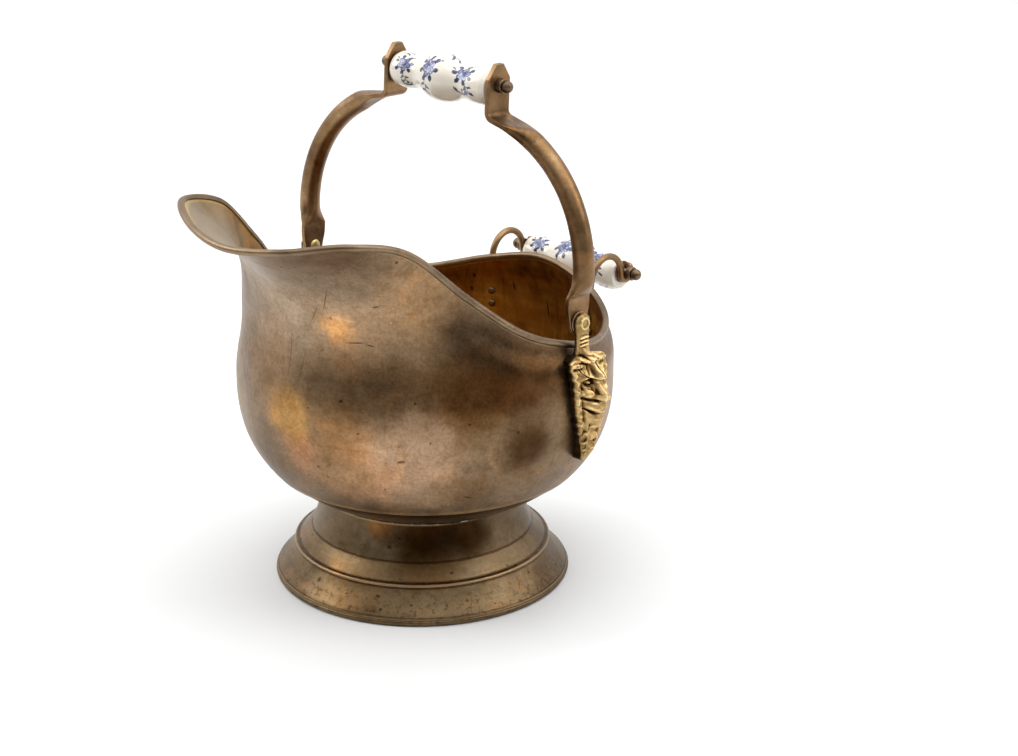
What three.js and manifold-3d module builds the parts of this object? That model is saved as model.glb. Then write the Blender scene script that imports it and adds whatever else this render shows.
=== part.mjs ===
// Helmet coal scuttle: a sheet brass bowl with a flared pouring lip on a spun
// foot, a bail that swings on pins in two cast lion masks, and a fixed rear
// handle. Bail and rear handle each carry a turning porcelain grip.
//
// Millimetres, +Z up. The origin is on the ground at the foot's centre, the
// lip points along -Y and both handles lie along X.

import * as THREE from 'three';
import { mergeVertices } from 'three/addons/utils/BufferGeometryUtils.js';
import Module from 'manifold-3d';

const wasm = await Module();
wasm.setup();

// ---------------------------------------------------------------- dimensions

const SHEET = 1.2;                // thickness of the brass sheet
const GAP = 0.3;                  // clearance between pieces that touch
const THROUGH = 1;                // how far a hole's tool runs past each face

// Foot, measured from its own axis
const FOOT_RADIUS = 116;          // outside of the rolled lower edge
const FOOT_BEAD_RADIUS = 2.6;     // wire rolled into the lower edge
const FOOT_FLAT_WIDTH = 2.8;      // flat that the foot stands on
const RIDGE_RADIUS = 99.6;        // small raised ridge above the skirt
const RIDGE_HEIGHT = 26.4;
const RIDGE_PROUD = 1.3;
const STEP_RADIUS = 86.4;         // crease where the step meets the neck
const STEP_HEIGHT = 40.3;
const COLLAR_RADIUS = 78;         // top of the neck, under the bowl
const SKIRT_HOLLOW = 2.2;         // how far the skirt's side is drawn in
const STEP_HOLLOW = 0.6;          // the same for the step over the ridge
const NECK_HOLLOW = 1.6;          // bulge of the neck's side outside its collar
const COLLAR_REACH = 16;          // neck above the pan's bottom, before it is fitted

// Bowl, measured from its own axis, which stands a little behind the foot's
const BOWL_SET_BACK = 5.7;
const BELLY_RADIUS = 146.4;
const BELLY_HEIGHT = 165.6;       // height of the widest line
const BOWL_DROP = 111;            // widest line down to the outside of the bottom
const BOWL_POWER = 2.4;           // roundness of the lower half: 2 is an ellipse
const WAIST_INSET = 8;            // how far the wall draws in above the belly, under the lip
const WAIST_SHARE = 0.42;         // waist height between the belly and the rim
const SEAM_HEIGHT = 92;           // lower edge of the body over the bottom pan
const SEAM_LAP = 7;               // how far the pan reaches up inside the body

// Rim from the lip to the back of the bowl: the angle from the lip in degrees,
// how far the rim stands outside the belly's radius and over its widest line,
// as shares of that radius, and how far the wall leans out there in degrees.
const RIM = [
  { turn: 0, out: 0.3757, up: 0.9836, lean: 60 },
  { turn: 13.7, out: 0.3436, up: 1.0109, lean: 57 },
  { turn: 27.6, out: 0.2698, up: 1.0505, lean: 50 },
  { turn: 39.8, out: 0.0464, up: 0.9563, lean: 24 },
  { turn: 57.3, out: -0.0888, up: 0.6776, lean: 8 },
  { turn: 76.1, out: -0.0738, up: 0.4529, lean: 3 },
  { turn: 96.5, out: -0.0656, up: 0.321, lean: -12 },
  { turn: 117.6, out: -0.0601, up: 0.2486, lean: -18 },
  { turn: 139.2, out: -0.0396, up: 0.2514, lean: -15 },
  { turn: 158.8, out: -0.0458, up: 0.3238, lean: -8 },
  { turn: 180, out: -0.0683, up: 0.388, lean: -2 },
];
const RIM_BEAD_RADIUS = 2.8;      // wire rolled into the rim

// Lion masks and the pins that carry the bail
const MASK_SET_BACK = 22;         // masks and pins behind the foot's axis
const MASK_DROP = 107.3;           // pin down to the tip of the beard
const MASK_HALF_WIDTH = 20.4;     // at the brow
const MASK_RELIEF = 23;           // nose in front of the plate
const MASK_PLATE = 5.7;           // plate, before its back is fitted to the belly
const MASK_SINK = 2.6;            // back of the plate inside the belly's radius
const EAR_RADIUS = 7.4;           // round ear that stands over the rim
const EAR_THICKNESS = 3.6;
const EAR_STAND_OFF = 4.9;         // back of the ear outside the rim wire
const EYE_RADIUS = 9.2;           // round end of the strap
const PIN_RADIUS = 3;
const PIN_HEAD_RADIUS = 5;
const PIN_RIM_CLEARANCE = 7.1;    // strap's round end over the rim wire
const MASK_RIVET_RADIUS = 1.8;
const MASK_RIVET_DROPS = [60.3, 84.3];  // below the pin

// Bail
const STRAP_WIDTH = 23.4;
const STRAP_THICKNESS = 4;
const STRAP_LENGTH = 20;          // pin up to the end of the flat strap
const STRAP_BLEND = 13;           // flat strap to round tube
const TUBE_RADIUS = 8;
const TUBE_OUTSET = 4.5;          // tube's centre line outside the strap's
const SHOULDER_RADIUS = 103.4;    // centre line of each shoulder
const SHOULDER_TURN = 76;         // degrees that each shoulder turns
const SHOULDER_RISE = 35.25;      // pin up to the start of the shoulder
const LUG_FLATTENING = 15;        // degrees of the shoulder that go flat
const LUG_RISE = 27;              // end of the shoulder up to the spindle
const LUG_TOP = 16;               // spindle up to the top of the lug
const LUG_SHOULDER = 5;           // spindle up to where the corners are clipped
const LUG_TIP_WIDTH = 8;
const LUG_BEND_RADIUS = 6;
const BAIL_LEAN = 3.6;            // degrees that the bail stands back at rest

// Porcelain grips, their spindles and cap nuts
const GRIP_LENGTH = 97;
const GRIP_RADIUS = 18.4;         // at the middle swelling
const GRIP_SIDE_RADIUS = 14;      // at the two side swellings
const GRIP_NECK_RADIUS = 12.8;    // between the swellings
const GRIP_END_RADIUS = 11.6;
const GRIP_BORE_RADIUS = 6.2;     // the grip hangs loose on its spindle
const SPINDLE_RADIUS = 3;
const WASHER_RADIUS = 8.6;
const WASHER_THICKNESS = 1.2;
const NUT_RADIUS = 5.6;           // collar of the cap nut
const NUT_COLLAR = 4.6;           // length of the collar
const NUT_BALL_RADIUS = 4.6;
const NUT_BORE_DEPTH = 6;

// Rear handle
const REAR_REACH = 42.6;          // rim wire's middle line out to the rear spindle
const REAR_DROP = 11.4;           // spindle below the rim at the back
const ROD_RADIUS = 2.7;           // hooks that carry the spindle
const HOOK_EYE_TURN = 250;        // degrees that each hook curls round the spindle
const HOOK_FOOT_WIDTH = 11;
const HOOK_FOOT_THICKNESS = 2.4;
const HOOK_FOOT_DROP = 47;        // rim down to the end of the flattened foot
const HOOK_FOOT_LENGTH = 24;
const HOOK_RIVET_RADIUS = 1.6;
const HOOK_RIVET_DROPS = [30, 41];  // below the rim

// How finely round forms are divided
const AROUND = 60;                // columns round the bowl, a multiple of the rim's 20
const FOOT_SEGMENTS = 44;
const ROUND_SEGMENTS = 12;
const GRIP_SEGMENTS = 20;
const GRIP_STEPS = 16;

// ----------------------------------------------------------------- materials

function finish(colour, roughness, metalness) {
  return new THREE.MeshStandardMaterial({ color: colour, roughness, metalness });
}

const agedBrass = finish(0x7a5f3c, 0.45, 0.9);
const castBrass = finish(0xb08a52, 0.5, 0.9);
const bailBrass = finish(0x6b5138, 0.45, 0.9);
const porcelain = finish(0xf2ece0, 0.15, 0);
const steel = finish(0x6a6158, 0.45, 0.9);
const leather = finish(0x5a3320, 0.8, 0);

// ------------------------------------------------------------- mesh builders

const rad = THREE.MathUtils.degToRad;
const vec = (x, y, z) => new THREE.Vector3(x, y, z);

function signedVolume(geometry) {
  const p = geometry.attributes.position;
  const index = geometry.index;
  const a = new THREE.Vector3();
  const b = new THREE.Vector3();
  const c = new THREE.Vector3();
  let volume = 0;
  for (let i = 0; i < index.count; i += 3) {
    a.fromBufferAttribute(p, index.getX(i));
    b.fromBufferAttribute(p, index.getX(i + 1));
    c.fromBufferAttribute(p, index.getX(i + 2));
    volume += a.dot(b.cross(c)) / 6;
  }
  return volume;
}

// A geometry from points and triangles, with its faces turned outwards.
function solid(points, triangles) {
  const geometry = new THREE.BufferGeometry();
  const flat = points.flatMap((p) => [p.x, p.y, p.z]);
  geometry.setAttribute('position', new THREE.Float32BufferAttribute(flat, 3));
  geometry.setIndex(triangles);
  if (signedVolume(geometry) < 0) {
    const index = geometry.index;
    for (let i = 0; i < index.count; i += 3) {
      const second = index.getX(i + 1);
      index.setX(i + 1, index.getX(i + 2));
      index.setX(i + 2, second);
    }
  }
  geometry.computeVertexNormals();
  return geometry;
}

// Joins rings of equal point counts into one skin. A closed skin joins its
// last ring to its first; an open one is capped at both ends by a fan.
function skin(rings, closed = false) {
  const size = rings[0].length;
  const points = rings.flat();
  const triangles = [];
  const bands = closed ? rings.length : rings.length - 1;
  for (let i = 0; i < bands; i += 1) {
    const low = i * size;
    const high = ((i + 1) % rings.length) * size;
    for (let j = 0; j < size; j += 1) {
      const next = (j + 1) % size;
      triangles.push(low + j, low + next, high + next);
      triangles.push(low + j, high + next, high + j);
    }
  }
  if (!closed) {
    const ends = [[0, true], [(rings.length - 1) * size, false]];
    for (const [start, first] of ends) {
      const middle = new THREE.Vector3();
      for (let j = 0; j < size; j += 1) middle.addScaledVector(points[start + j], 1 / size);
      const centre = points.push(middle) - 1;
      for (let j = 0; j < size; j += 1) {
        const a = start + j;
        const b = start + ((j + 1) % size);
        triangles.push(...(first ? [centre, b, a] : [centre, a, b]));
      }
    }
  }
  return solid(points, triangles);
}

// A turned shape: [radius, height] pairs that close on themselves or on the axis.
function turned(profile, segments = ROUND_SEGMENTS) {
  const outline = profile.map(([r, z]) => new THREE.Vector2(r, z));
  const geometry = new THREE.LatheGeometry(outline, segments);
  geometry.rotateX(Math.PI / 2);
  return weld(geometry);
}

// A closed ring profile is turned about Z; its first point is repeated at the end.
function turnedRing(profile, segments) {
  return turned([...profile, profile[0]], segments);
}

function weld(geometry) {
  geometry.deleteAttribute('normal');
  geometry.deleteAttribute('uv');
  const merged = mergeVertices(geometry, 1e-4);
  const index = merged.index;
  const kept = [];
  for (let i = 0; i < index.count; i += 3) {
    const corner = [index.getX(i), index.getX(i + 1), index.getX(i + 2)];
    if (new Set(corner).size === 3) kept.push(...corner);
  }
  const p = merged.attributes.position;
  const points = Array.from({ length: p.count }, (_, i) => new THREE.Vector3().fromBufferAttribute(p, i));
  return solid(points, kept);
}

function toManifold(geometry) {
  const clean = weld(geometry.clone());
  return new wasm.Manifold(new wasm.Mesh({
    numProp: 3,
    vertProperties: new Float32Array(clean.attributes.position.array),
    triVerts: new Uint32Array(clean.index.array),
  }));
}

function fromManifold(manifold) {
  const mesh = manifold.getMesh();
  const geometry = new THREE.BufferGeometry();
  geometry.setAttribute('position', new THREE.Float32BufferAttribute(mesh.vertProperties, 3));
  geometry.setIndex(Array.from(mesh.triVerts));
  geometry.computeVertexNormals();
  return geometry;
}

function cut(geometry, ...tools) {
  const start = toManifold(geometry);
  return fromManifold(tools.reduce((left, tool) => left.subtract(toManifold(tool)), start));
}

// A cylinder along X from one place to another at the given Y and Z.
function rodX(radius, fromX, toX, y, z, segments = ROUND_SEGMENTS) {
  const geometry = new THREE.CylinderGeometry(radius, radius, Math.abs(toX - fromX), segments);
  geometry.rotateZ(Math.PI / 2);
  geometry.translate((fromX + toX) / 2, y, z);
  return geometry;
}

function mirrored(geometry) {
  const p = geometry.attributes.position;
  const points = Array.from({ length: p.count }, (_, i) => vec(-p.getX(i), p.getY(i), p.getZ(i)));
  return solid(points, Array.from(geometry.index.array));
}

// ---------------------------------------------------------------- the object

const scuttle = new THREE.Group();

function addPart(name, geometry, material, parent = scuttle) {
  const mesh = new THREE.Mesh(geometry, material);
  mesh.name = name;
  parent.add(mesh);
}

const SIDES = [['left', -1], ['right', 1]];

// Adds the +X version of a piece as right, and its mirror image as left.
function addPair(name, geometry, material, parent) {
  for (const [side, sign] of SIDES) {
    addPart(`${name}_${side}`, sign > 0 ? geometry : mirrored(geometry), material, parent);
  }
}

// ---------------------------------------------------------- the bowl's walls

// The rim's control points all round, first one side and then its mirror image.
const rimRound = [...RIM, ...RIM.slice(1, -1).reverse().map((p) => ({ ...p, turn: -p.turn }))];
const rimCurve = new THREE.CatmullRomCurve3(rimRound.map((p) => {
  const radius = BELLY_RADIUS * (1 + p.out);
  const angle = rad(p.turn);
  const y = BOWL_SET_BACK - radius * Math.cos(angle);
  return vec(radius * Math.sin(angle), y, BELLY_HEIGHT + BELLY_RADIUS * p.up);
}), true, 'catmullrom');
const leanCurve = new THREE.CatmullRomCurve3(
  rimRound.map((p) => vec(rad(p.lean), 0, 0)), true, 'catmullrom');

function rimAt(t) {
  const p = rimCurve.getPoint(t);
  const dx = p.x;
  const dy = p.y - BOWL_SET_BACK;
  const radius = Math.hypot(dx, dy);
  return { radius, height: p.z, dir: vec(dx / radius, dy / radius, 0), lean: leanCurve.getPoint(t).x };
}

function bezier(a, b, c, d, s) {
  const u = 1 - s;
  return u * u * u * a + 3 * u * u * s * b + 3 * u * s * s * c + s * s * s * d;
}

const BELLY_HANDLE = 0.4;         // share of the belly-to-waist rise that stays upright
const RIM_HANDLE = 0.45;          // the same for the waist-to-rim curve

// Angle of the lower bowl's curve at a height: 0 at the belly's widest line.
function phiAt(height) {
  return Math.asin(((BELLY_HEIGHT - height) / BOWL_DROP) ** (BOWL_POWER / 2));
}

const seamPhi = phiAt(SEAM_HEIGHT);
const lapPhi = phiAt(SEAM_HEIGHT + SEAM_LAP);

// Radius and height of the lower bowl: phi is 0 at the widest line and a
// quarter turn at the middle of the bottom. inset moves the surface inwards.
function lowerBowl(phi, inset = 0) {
  const across = Math.cos(phi) ** (2 / BOWL_POWER);
  const down = Math.sin(phi) ** (2 / BOWL_POWER);
  const nr = across ** (BOWL_POWER - 1) / BELLY_RADIUS;
  const nz = down ** (BOWL_POWER - 1) / BOWL_DROP;
  const length = Math.hypot(nr, nz);
  const radius = BELLY_RADIUS * across - (inset * nr) / length;
  const height = BELLY_HEIGHT - BOWL_DROP * down + (inset * nz) / length;
  return [radius, height];
}

const rimUps = RIM.map((p) => p.up);
const rimLow = Math.min(...rimUps);
const rimHigh = Math.max(...rimUps);

// The waist is deepest where the rim is highest, and fades out where it is low.
function waistInset(rimHeight) {
  const up = (rimHeight - BELLY_HEIGHT) / BELLY_RADIUS;
  return WAIST_INSET * Math.max((up - rimLow) / (rimHigh - rimLow), 0);
}

// Radius and height of the wall's outside. level runs from 0 at the seam to 1
// at the belly, 2 at the waist and 3 at the middle of the rim wire.
function wallProfile(t, level) {
  const rim = rimAt(t);
  const waistRadius = BELLY_RADIUS - waistInset(rim.height);
  const waistHeight = BELLY_HEIGHT + WAIST_SHARE * (rim.height - BELLY_HEIGHT);
  if (level <= 1) return lowerBowl(seamPhi * (1 - level));
  if (level <= 2) {
    const s = level - 1;
    const hold = BELLY_HANDLE * (waistHeight - BELLY_HEIGHT);
    const r = bezier(BELLY_RADIUS, BELLY_RADIUS, waistRadius, waistRadius, s);
    const z = bezier(BELLY_HEIGHT, BELLY_HEIGHT + hold, waistHeight - hold, waistHeight, s);
    return [r, z];
  }
  const s = level - 2;
  const hold = RIM_HANDLE * Math.hypot(rim.radius - waistRadius, rim.height - waistHeight);
  const r = bezier(waistRadius, waistRadius, rim.radius - hold * Math.sin(rim.lean), rim.radius, s);
  const z = bezier(waistHeight, waistHeight + hold, rim.height - hold * Math.cos(rim.lean), rim.height, s);
  return [r, z];
}

function wallPoint(t, level) {
  const [radius, height] = wallProfile(t, level);
  const point = rimAt(t).dir.multiplyScalar(radius);
  return point.add(vec(0, BOWL_SET_BACK, height));
}

// A point at some distance outside the wall (inside, where it is negative).
function offWall(t, level, distance) {
  const small = 1e-3;
  const low = Math.max(level - small, 0);
  const up = wallPoint(t, low + 2 * small).sub(wallPoint(t, low));
  const along = wallPoint(t + small, level).sub(wallPoint(t - small, level));
  const out = along.cross(up).normalize();
  return wallPoint(t, level).addScaledVector(out, distance);
}

const columns = Array.from({ length: AROUND }, (_, i) => i / AROUND);

// The sheet stops just short of the rim wire, measured square to the wire.
function topLevel(t) {
  const along = rimCurve.getTangent(t).normalize();
  const rim = rimCurve.getPoint(t);
  let low = 2;
  let high = 3;
  for (let i = 0; i < 24; i += 1) {
    const middle = (low + high) / 2;
    const distance = wallPoint(t, middle).sub(rim).cross(along).length();
    if (distance > RIM_BEAD_RADIUS + GAP) low = middle;
    else high = middle;
  }
  return low;
}

const LOWER_LEVELS = 5;
const BELLY_LEVELS = 3;
const UPPER_LEVELS = 5;

function wallRings(distance) {
  const lap = 1 - lapPhi / seamPhi;
  const steps = [() => 0];
  for (let i = 0; i < LOWER_LEVELS; i += 1) steps.push(() => lap + (1 - lap) * (i / LOWER_LEVELS));
  for (let i = 0; i < BELLY_LEVELS; i += 1) steps.push(() => 1 + i / BELLY_LEVELS);
  for (let i = 0; i <= UPPER_LEVELS; i += 1) {
    steps.push((t) => 2 + (i / UPPER_LEVELS) * (topLevel(t) - 2));
  }
  return steps.map((level) => columns.map((t) => offWall(t, level(t), distance)));
}

// The bowl as one full body, grown outwards by a clearance, for cutting seats.
function bowlBlank(clearance) {
  return skin(wallRings(clearance));
}

// ------------------------------------------------------- body and bottom pan

function bowlRing(phi, inset) {
  const [radius, height] = lowerBowl(phi, inset);
  return columns.map((t) => rimAt(t).dir.multiplyScalar(radius).add(vec(0, BOWL_SET_BACK, height)));
}

const PAN_LEVELS = 4;
const PAN_FLAT_PHI = rad(86);     // inside this the bottom is flat

function panRings(inset) {
  const rings = [bowlRing(lapPhi, inset)];
  for (let i = 0; i <= PAN_LEVELS; i += 1) {
    rings.push(bowlRing(seamPhi + (i / PAN_LEVELS) * (PAN_FLAT_PHI - seamPhi), inset));
  }
  return rings;
}

const PAN_INSET = SHEET + GAP;    // the pan's outside lies against the body's inside

function bottomPan() {
  const outside = panRings(PAN_INSET);
  const inside = panRings(PAN_INSET + SHEET);
  return skin([...outside.reverse(), ...inside]);
}

// The pan as one full body, grown by the clearance, for the foot's seat.
function panBlank() {
  return skin(panRings(PAN_INSET - GAP));
}

// ---------------------------------------------------------------------- foot

const skirtBottom = 2 * FOOT_BEAD_RADIUS + GAP;
const collarTop = BELLY_HEIGHT - BOWL_DROP + COLLAR_REACH;

// Outside of the foot from the rolled edge up to the neck, as [radius, height].
function footOutside() {
  const outline = new THREE.Path();
  const skirtRadius = FOOT_RADIUS - FOOT_BEAD_RADIUS + SHEET / 2;
  const underRidge = RIDGE_HEIGHT - RIDGE_PROUD;
  const overRidge = RIDGE_HEIGHT + RIDGE_PROUD;
  outline.moveTo(skirtRadius, skirtBottom);
  outline.quadraticCurveTo(
    (skirtRadius + RIDGE_RADIUS) / 2 - SKIRT_HOLLOW, (skirtBottom + underRidge) / 2,
    RIDGE_RADIUS, underRidge);
  outline.lineTo(RIDGE_RADIUS + RIDGE_PROUD, RIDGE_HEIGHT);
  outline.lineTo(RIDGE_RADIUS - RIDGE_PROUD, overRidge);
  outline.quadraticCurveTo(
    (RIDGE_RADIUS + STEP_RADIUS) / 2, (overRidge + STEP_HEIGHT) / 2 - STEP_HOLLOW,
    STEP_RADIUS, STEP_HEIGHT);
  outline.quadraticCurveTo(
    COLLAR_RADIUS + NECK_HOLLOW, (STEP_HEIGHT + collarTop) / 2, COLLAR_RADIUS, collarTop);
  return outline.getPoints(2).map((p) => [p.x, p.y]);
}

function foot() {
  const outside = footOutside();
  const inside = outside.map(([r, z], i) => [r - SHEET, i === 0 ? z : z - SHEET / 2]);
  return cut(turnedRing([...outside, ...inside.reverse()], FOOT_SEGMENTS), panBlank());
}

// Wire rolled into the foot's lower edge, worn flat where it stands.
function footWire() {
  const centre = FOOT_RADIUS - FOOT_BEAD_RADIUS;
  const flat = FOOT_FLAT_WIDTH / 2;
  const side = FOOT_BEAD_RADIUS - flat;
  const profile = [
    [centre - flat, 0],
    [centre + flat, 0],
    [centre + FOOT_BEAD_RADIUS, side],
    [centre + FOOT_BEAD_RADIUS, 2 * FOOT_BEAD_RADIUS - side],
    [centre + flat, 2 * FOOT_BEAD_RADIUS],
    [centre - flat, 2 * FOOT_BEAD_RADIUS],
    [centre - FOOT_BEAD_RADIUS, 2 * FOOT_BEAD_RADIUS - side],
    [centre - FOOT_BEAD_RADIUS, side],
  ];
  return turnedRing(profile, FOOT_SEGMENTS);
}

// ------------------------------------------------------------------ rim wire

const WIRE_SIDES = 7;

function rimWire() {
  const rings = columns.map((t) => {
    const centre = rimCurve.getPoint(t);
    const along = rimCurve.getTangent(t).normalize();
    const out = rimAt(t).dir;
    const up = along.clone().cross(out).normalize();
    const across = up.clone().cross(along).normalize();
    return Array.from({ length: WIRE_SIDES }, (_, i) => {
      const angle = (2 * Math.PI * i) / WIRE_SIDES;
      return centre.clone()
        .addScaledVector(across, RIM_BEAD_RADIUS * Math.cos(angle))
        .addScaledVector(up, RIM_BEAD_RADIUS * Math.sin(angle));
    });
  });
  return skin(rings, true);
}

// ------------------------------------------------- places that pieces share

// The column where the rim has a wanted value on one axis, between two others.
function columnWhere(axis, wanted, low, high) {
  const rises = rimCurve.getPoint(low)[axis] < rimCurve.getPoint(high)[axis];
  let from = low;
  let to = high;
  for (let i = 0; i < 40; i += 1) {
    const middle = (from + to) / 2;
    const before = rimCurve.getPoint(middle)[axis] < wanted === rises;
    if (before) from = middle;
    else to = middle;
  }
  return from;
}

// The wall's level at a height below the rim, in one column.
function levelAt(t, height) {
  let low = 0;
  let high = 3;
  for (let i = 0; i < 40; i += 1) {
    const middle = (low + high) / 2;
    if (wallProfile(t, middle)[1] < height) low = middle;
    else high = middle;
  }
  return low;
}

const UP = vec(0, 0, 1);

// Moves a piece made along +Z so that it stands out of the wall there.
function placeOnWall(geometry, t, height, distance = 0) {
  const level = levelAt(t, height);
  const foot0 = wallPoint(t, level);
  const out = offWall(t, level, 1).sub(foot0);
  geometry.applyQuaternion(new THREE.Quaternion().setFromUnitVectors(UP, out));
  const place = foot0.addScaledVector(out, distance);
  return geometry.translate(place.x, place.y, place.z);
}

// Pins of the bail, and the stack along each: strap, washer and mask's ear.
const maskColumn = columnWhere('y', MASK_SET_BACK, 0.2, 0.45);
const pinHeight = rimCurve.getPoint(maskColumn).z + RIM_BEAD_RADIUS + PIN_RIM_CLEARANCE + EYE_RADIUS;
const plateBack = BELLY_RADIUS - MASK_SINK;
const plateFront = plateBack + MASK_PLATE;
const earBack = rimCurve.getPoint(maskColumn).x + RIM_BEAD_RADIUS + EAR_STAND_OFF;
const earFront = earBack + EAR_THICKNESS;
const strapOutside = earBack - 2 * GAP - WASHER_THICKNESS;
const strapMiddle = strapOutside - STRAP_THICKNESS / 2;
const strapInside = strapOutside - STRAP_THICKNESS;

// Each grip, and what stands outside each of its ends.
const washerInside = GRIP_LENGTH / 2 + GAP;
const washerOutside = washerInside + WASHER_THICKNESS;
const gripSag = GRIP_BORE_RADIUS - SPINDLE_RADIUS - GAP;

// Rear handle: hooks, and the spindle that they curl round.
const hookInside = washerOutside + GAP;
const hookMiddle = hookInside + ROD_RADIUS;
const hookOutside = hookMiddle + ROD_RADIUS;
const legStandOff = RIM_BEAD_RADIUS + ROD_RADIUS + 2 * GAP;
const hookColumn = columnWhere('x', hookMiddle / (1 + legStandOff / BELLY_RADIUS), 0.3, 0.5);
const hookRim = rimCurve.getPoint(hookColumn);
const rimBack = rimCurve.getPoint(0.5);
const rearSpindleY = rimBack.y + REAR_REACH;
const rearSpindleZ = rimBack.z - REAR_DROP;

// -------------------------------------------------------------------- rivets

// A rivet along +Z with its inner head below zero and its shank above it. An
// outer head closes it where one is given.
function rivet(radius, length, outerHead = false) {
  const head = 1.8 * radius;
  const rise = 0.9 * radius;
  const inner = [[0, -rise], [0.6 * head, -0.85 * rise], [head, -0.3 * rise], [head, 0], [radius, 0]];
  const shank = [[radius, length]];
  const outer = [[head, length], [head, length + 0.3 * rise], [0.6 * head, length + 0.85 * rise]];
  const tip = [[0, outerHead ? length + rise : length]];
  return turned([...inner, ...shank, ...(outerHead ? outer : []), ...tip], RIVET_SEGMENTS);
}

function hole(radius, length) {
  const geometry = new THREE.CylinderGeometry(radius, radius, length, RIVET_SEGMENTS);
  return geometry.rotateX(Math.PI / 2);
}

const RIVET_SEGMENTS = 8;
const headSeat = SHEET + 3 * GAP; // inner head inside the wall's outer face

const maskRivetHeights = MASK_RIVET_DROPS.map((drop) => pinHeight - drop);
const hookRivetHeights = HOOK_RIVET_DROPS.map((drop) => hookRim.z - drop);
const maskRivetLength = headSeat + plateFront - BELLY_RADIUS - GAP;
const hookRivetLength = headSeat + HOOK_FOOT_THICKNESS + 3.5 * GAP;

function maskRivetHoles() {
  return maskRivetHeights.map((height) => (
    placeOnWall(hole(MASK_RIVET_RADIUS + GAP, 2 * (maskRivetLength - headSeat + GAP)), maskColumn, height)
  ));
}

function hookRivetHoles() {
  return hookRivetHeights.map((height) => (
    placeOnWall(hole(HOOK_RIVET_RADIUS + GAP, 4 * hookRivetLength), hookColumn, height)
  ));
}

// --------------------------------------------------------------------- lofts

// A ring of points round a place: wide runs along across, thick along out.
function section({ at, along, across, wide, thick, square = false }, sides) {
  const out = along.clone().cross(across).normalize();
  const width = out.clone().cross(along).normalize();
  const power = square ? 0.25 : 1;
  return Array.from({ length: sides }, (_, i) => {
    const angle = (2 * Math.PI * (i + 0.5)) / sides;
    const c = Math.cos(angle);
    const s = Math.sin(angle);
    return at.clone()
      .addScaledVector(width, wide * Math.sign(c) * Math.abs(c) ** power)
      .addScaledVector(out, thick * Math.sign(s) * Math.abs(s) ** power);
  });
}

function loft(stations, sides) {
  return skin(stations.map((station) => section(station, sides)));
}

// --------------------------------------------------------------------- masks

// Rows of the mask below its ear: how far down the casting the row lies, half
// its width and how far its middle stands out, as shares of the mask's sizes.
const MASK_ROWS = [
  { down: 0.136, half: 0.37, relief: 0.12 },
  { down: 0.232, half: 0.4, relief: 0.2 },
  { down: 0.246, half: 0.98, relief: 0.4 },
  { down: 0.292, half: 1, relief: 0.55 },
  { down: 0.338, half: 0.91, relief: 0.84 },
  { down: 0.424, half: 0.81, relief: 0.73 },
  { down: 0.484, half: 0.77, relief: 1 },
  { down: 0.539, half: 0.74, relief: 0.78 },
  { down: 0.616, half: 0.67, relief: 0.74 },
  { down: 0.731, half: 0.56, relief: 0.56 },
  { down: 0.798, half: 0.48, relief: 0.34 },
  { down: 0.904, half: 0.34, relief: 0.28 },
  { down: 1, half: 0.12, relief: 0.04 },
];
const MASK_NECK_ROWS = 2;         // rows that still belong to the ear's neck
const MASK_CELLS = 10;            // cells across the front

// The face falls away to its sides, and the mane leaves a ripple on them.
function reliefShare(side) {
  const fall = Math.cos((side * Math.PI) / 2);
  return Math.max(fall - 0.1 + 0.1 * Math.cos(side * 4 * Math.PI), 0.04);
}

function maskRing(height, half, back, front, relief) {
  const ring = [];
  for (let i = 0; i <= MASK_CELLS; i += 1) {
    const side = (2 * i) / MASK_CELLS - 1;
    const stand = Math.abs(side) < 1 ? relief * reliefShare(side) : 0;
    ring.push(vec(front + stand, MASK_SET_BACK + side * half, height));
  }
  for (let i = MASK_CELLS; i >= 0; i -= 1) {
    const side = (2 * i) / MASK_CELLS - 1;
    ring.push(vec(back, MASK_SET_BACK + side * half, height));
  }
  return ring;
}

function mask() {
  const ear = [1, 0.8, 0.35, -0.6].map((share) => {
    const half = EAR_RADIUS * Math.max(Math.sqrt(1 - share * share), 0.3);
    return maskRing(pinHeight + share * EAR_RADIUS, half, earBack, earFront, 0);
  });
  const face = MASK_ROWS.map((row, i) => {
    const neck = i < MASK_NECK_ROWS;
    return maskRing(
      pinHeight - row.down * MASK_DROP, row.half * MASK_HALF_WIDTH,
      neck ? earBack : plateBack, neck ? earFront : plateFront, row.relief * MASK_RELIEF);
  });
  const pinHole = rodX(PIN_RADIUS + GAP, earBack - THROUGH, earFront + THROUGH, MASK_SET_BACK, pinHeight);
  return cut(skin([...ear, ...face]), bowlBlank(GAP), pinHole, ...maskRivetHoles());
}

// Shoulder pin: riveted heads outside the ear and inside the strap.
function bailPin() {
  const inner = strapInside - GAP;
  const outer = earFront + GAP;
  const thick = 0.5 * PIN_RADIUS;
  const profile = [
    [0, inner - thick],
    [0.7 * PIN_HEAD_RADIUS, inner - 0.8 * thick],
    [PIN_HEAD_RADIUS, inner - 0.3 * thick],
    [PIN_HEAD_RADIUS, inner],
    [PIN_RADIUS, inner],
    [PIN_RADIUS, outer],
    [PIN_HEAD_RADIUS, outer],
    [PIN_HEAD_RADIUS, outer + 0.3 * thick],
    [0.7 * PIN_HEAD_RADIUS, outer + 0.8 * thick],
    [0, outer + thick],
  ];
  return turned(profile).rotateY(Math.PI / 2).translate(0, MASK_SET_BACK, pinHeight);
}

// ---------------------------------------------------------------------- bail

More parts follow.
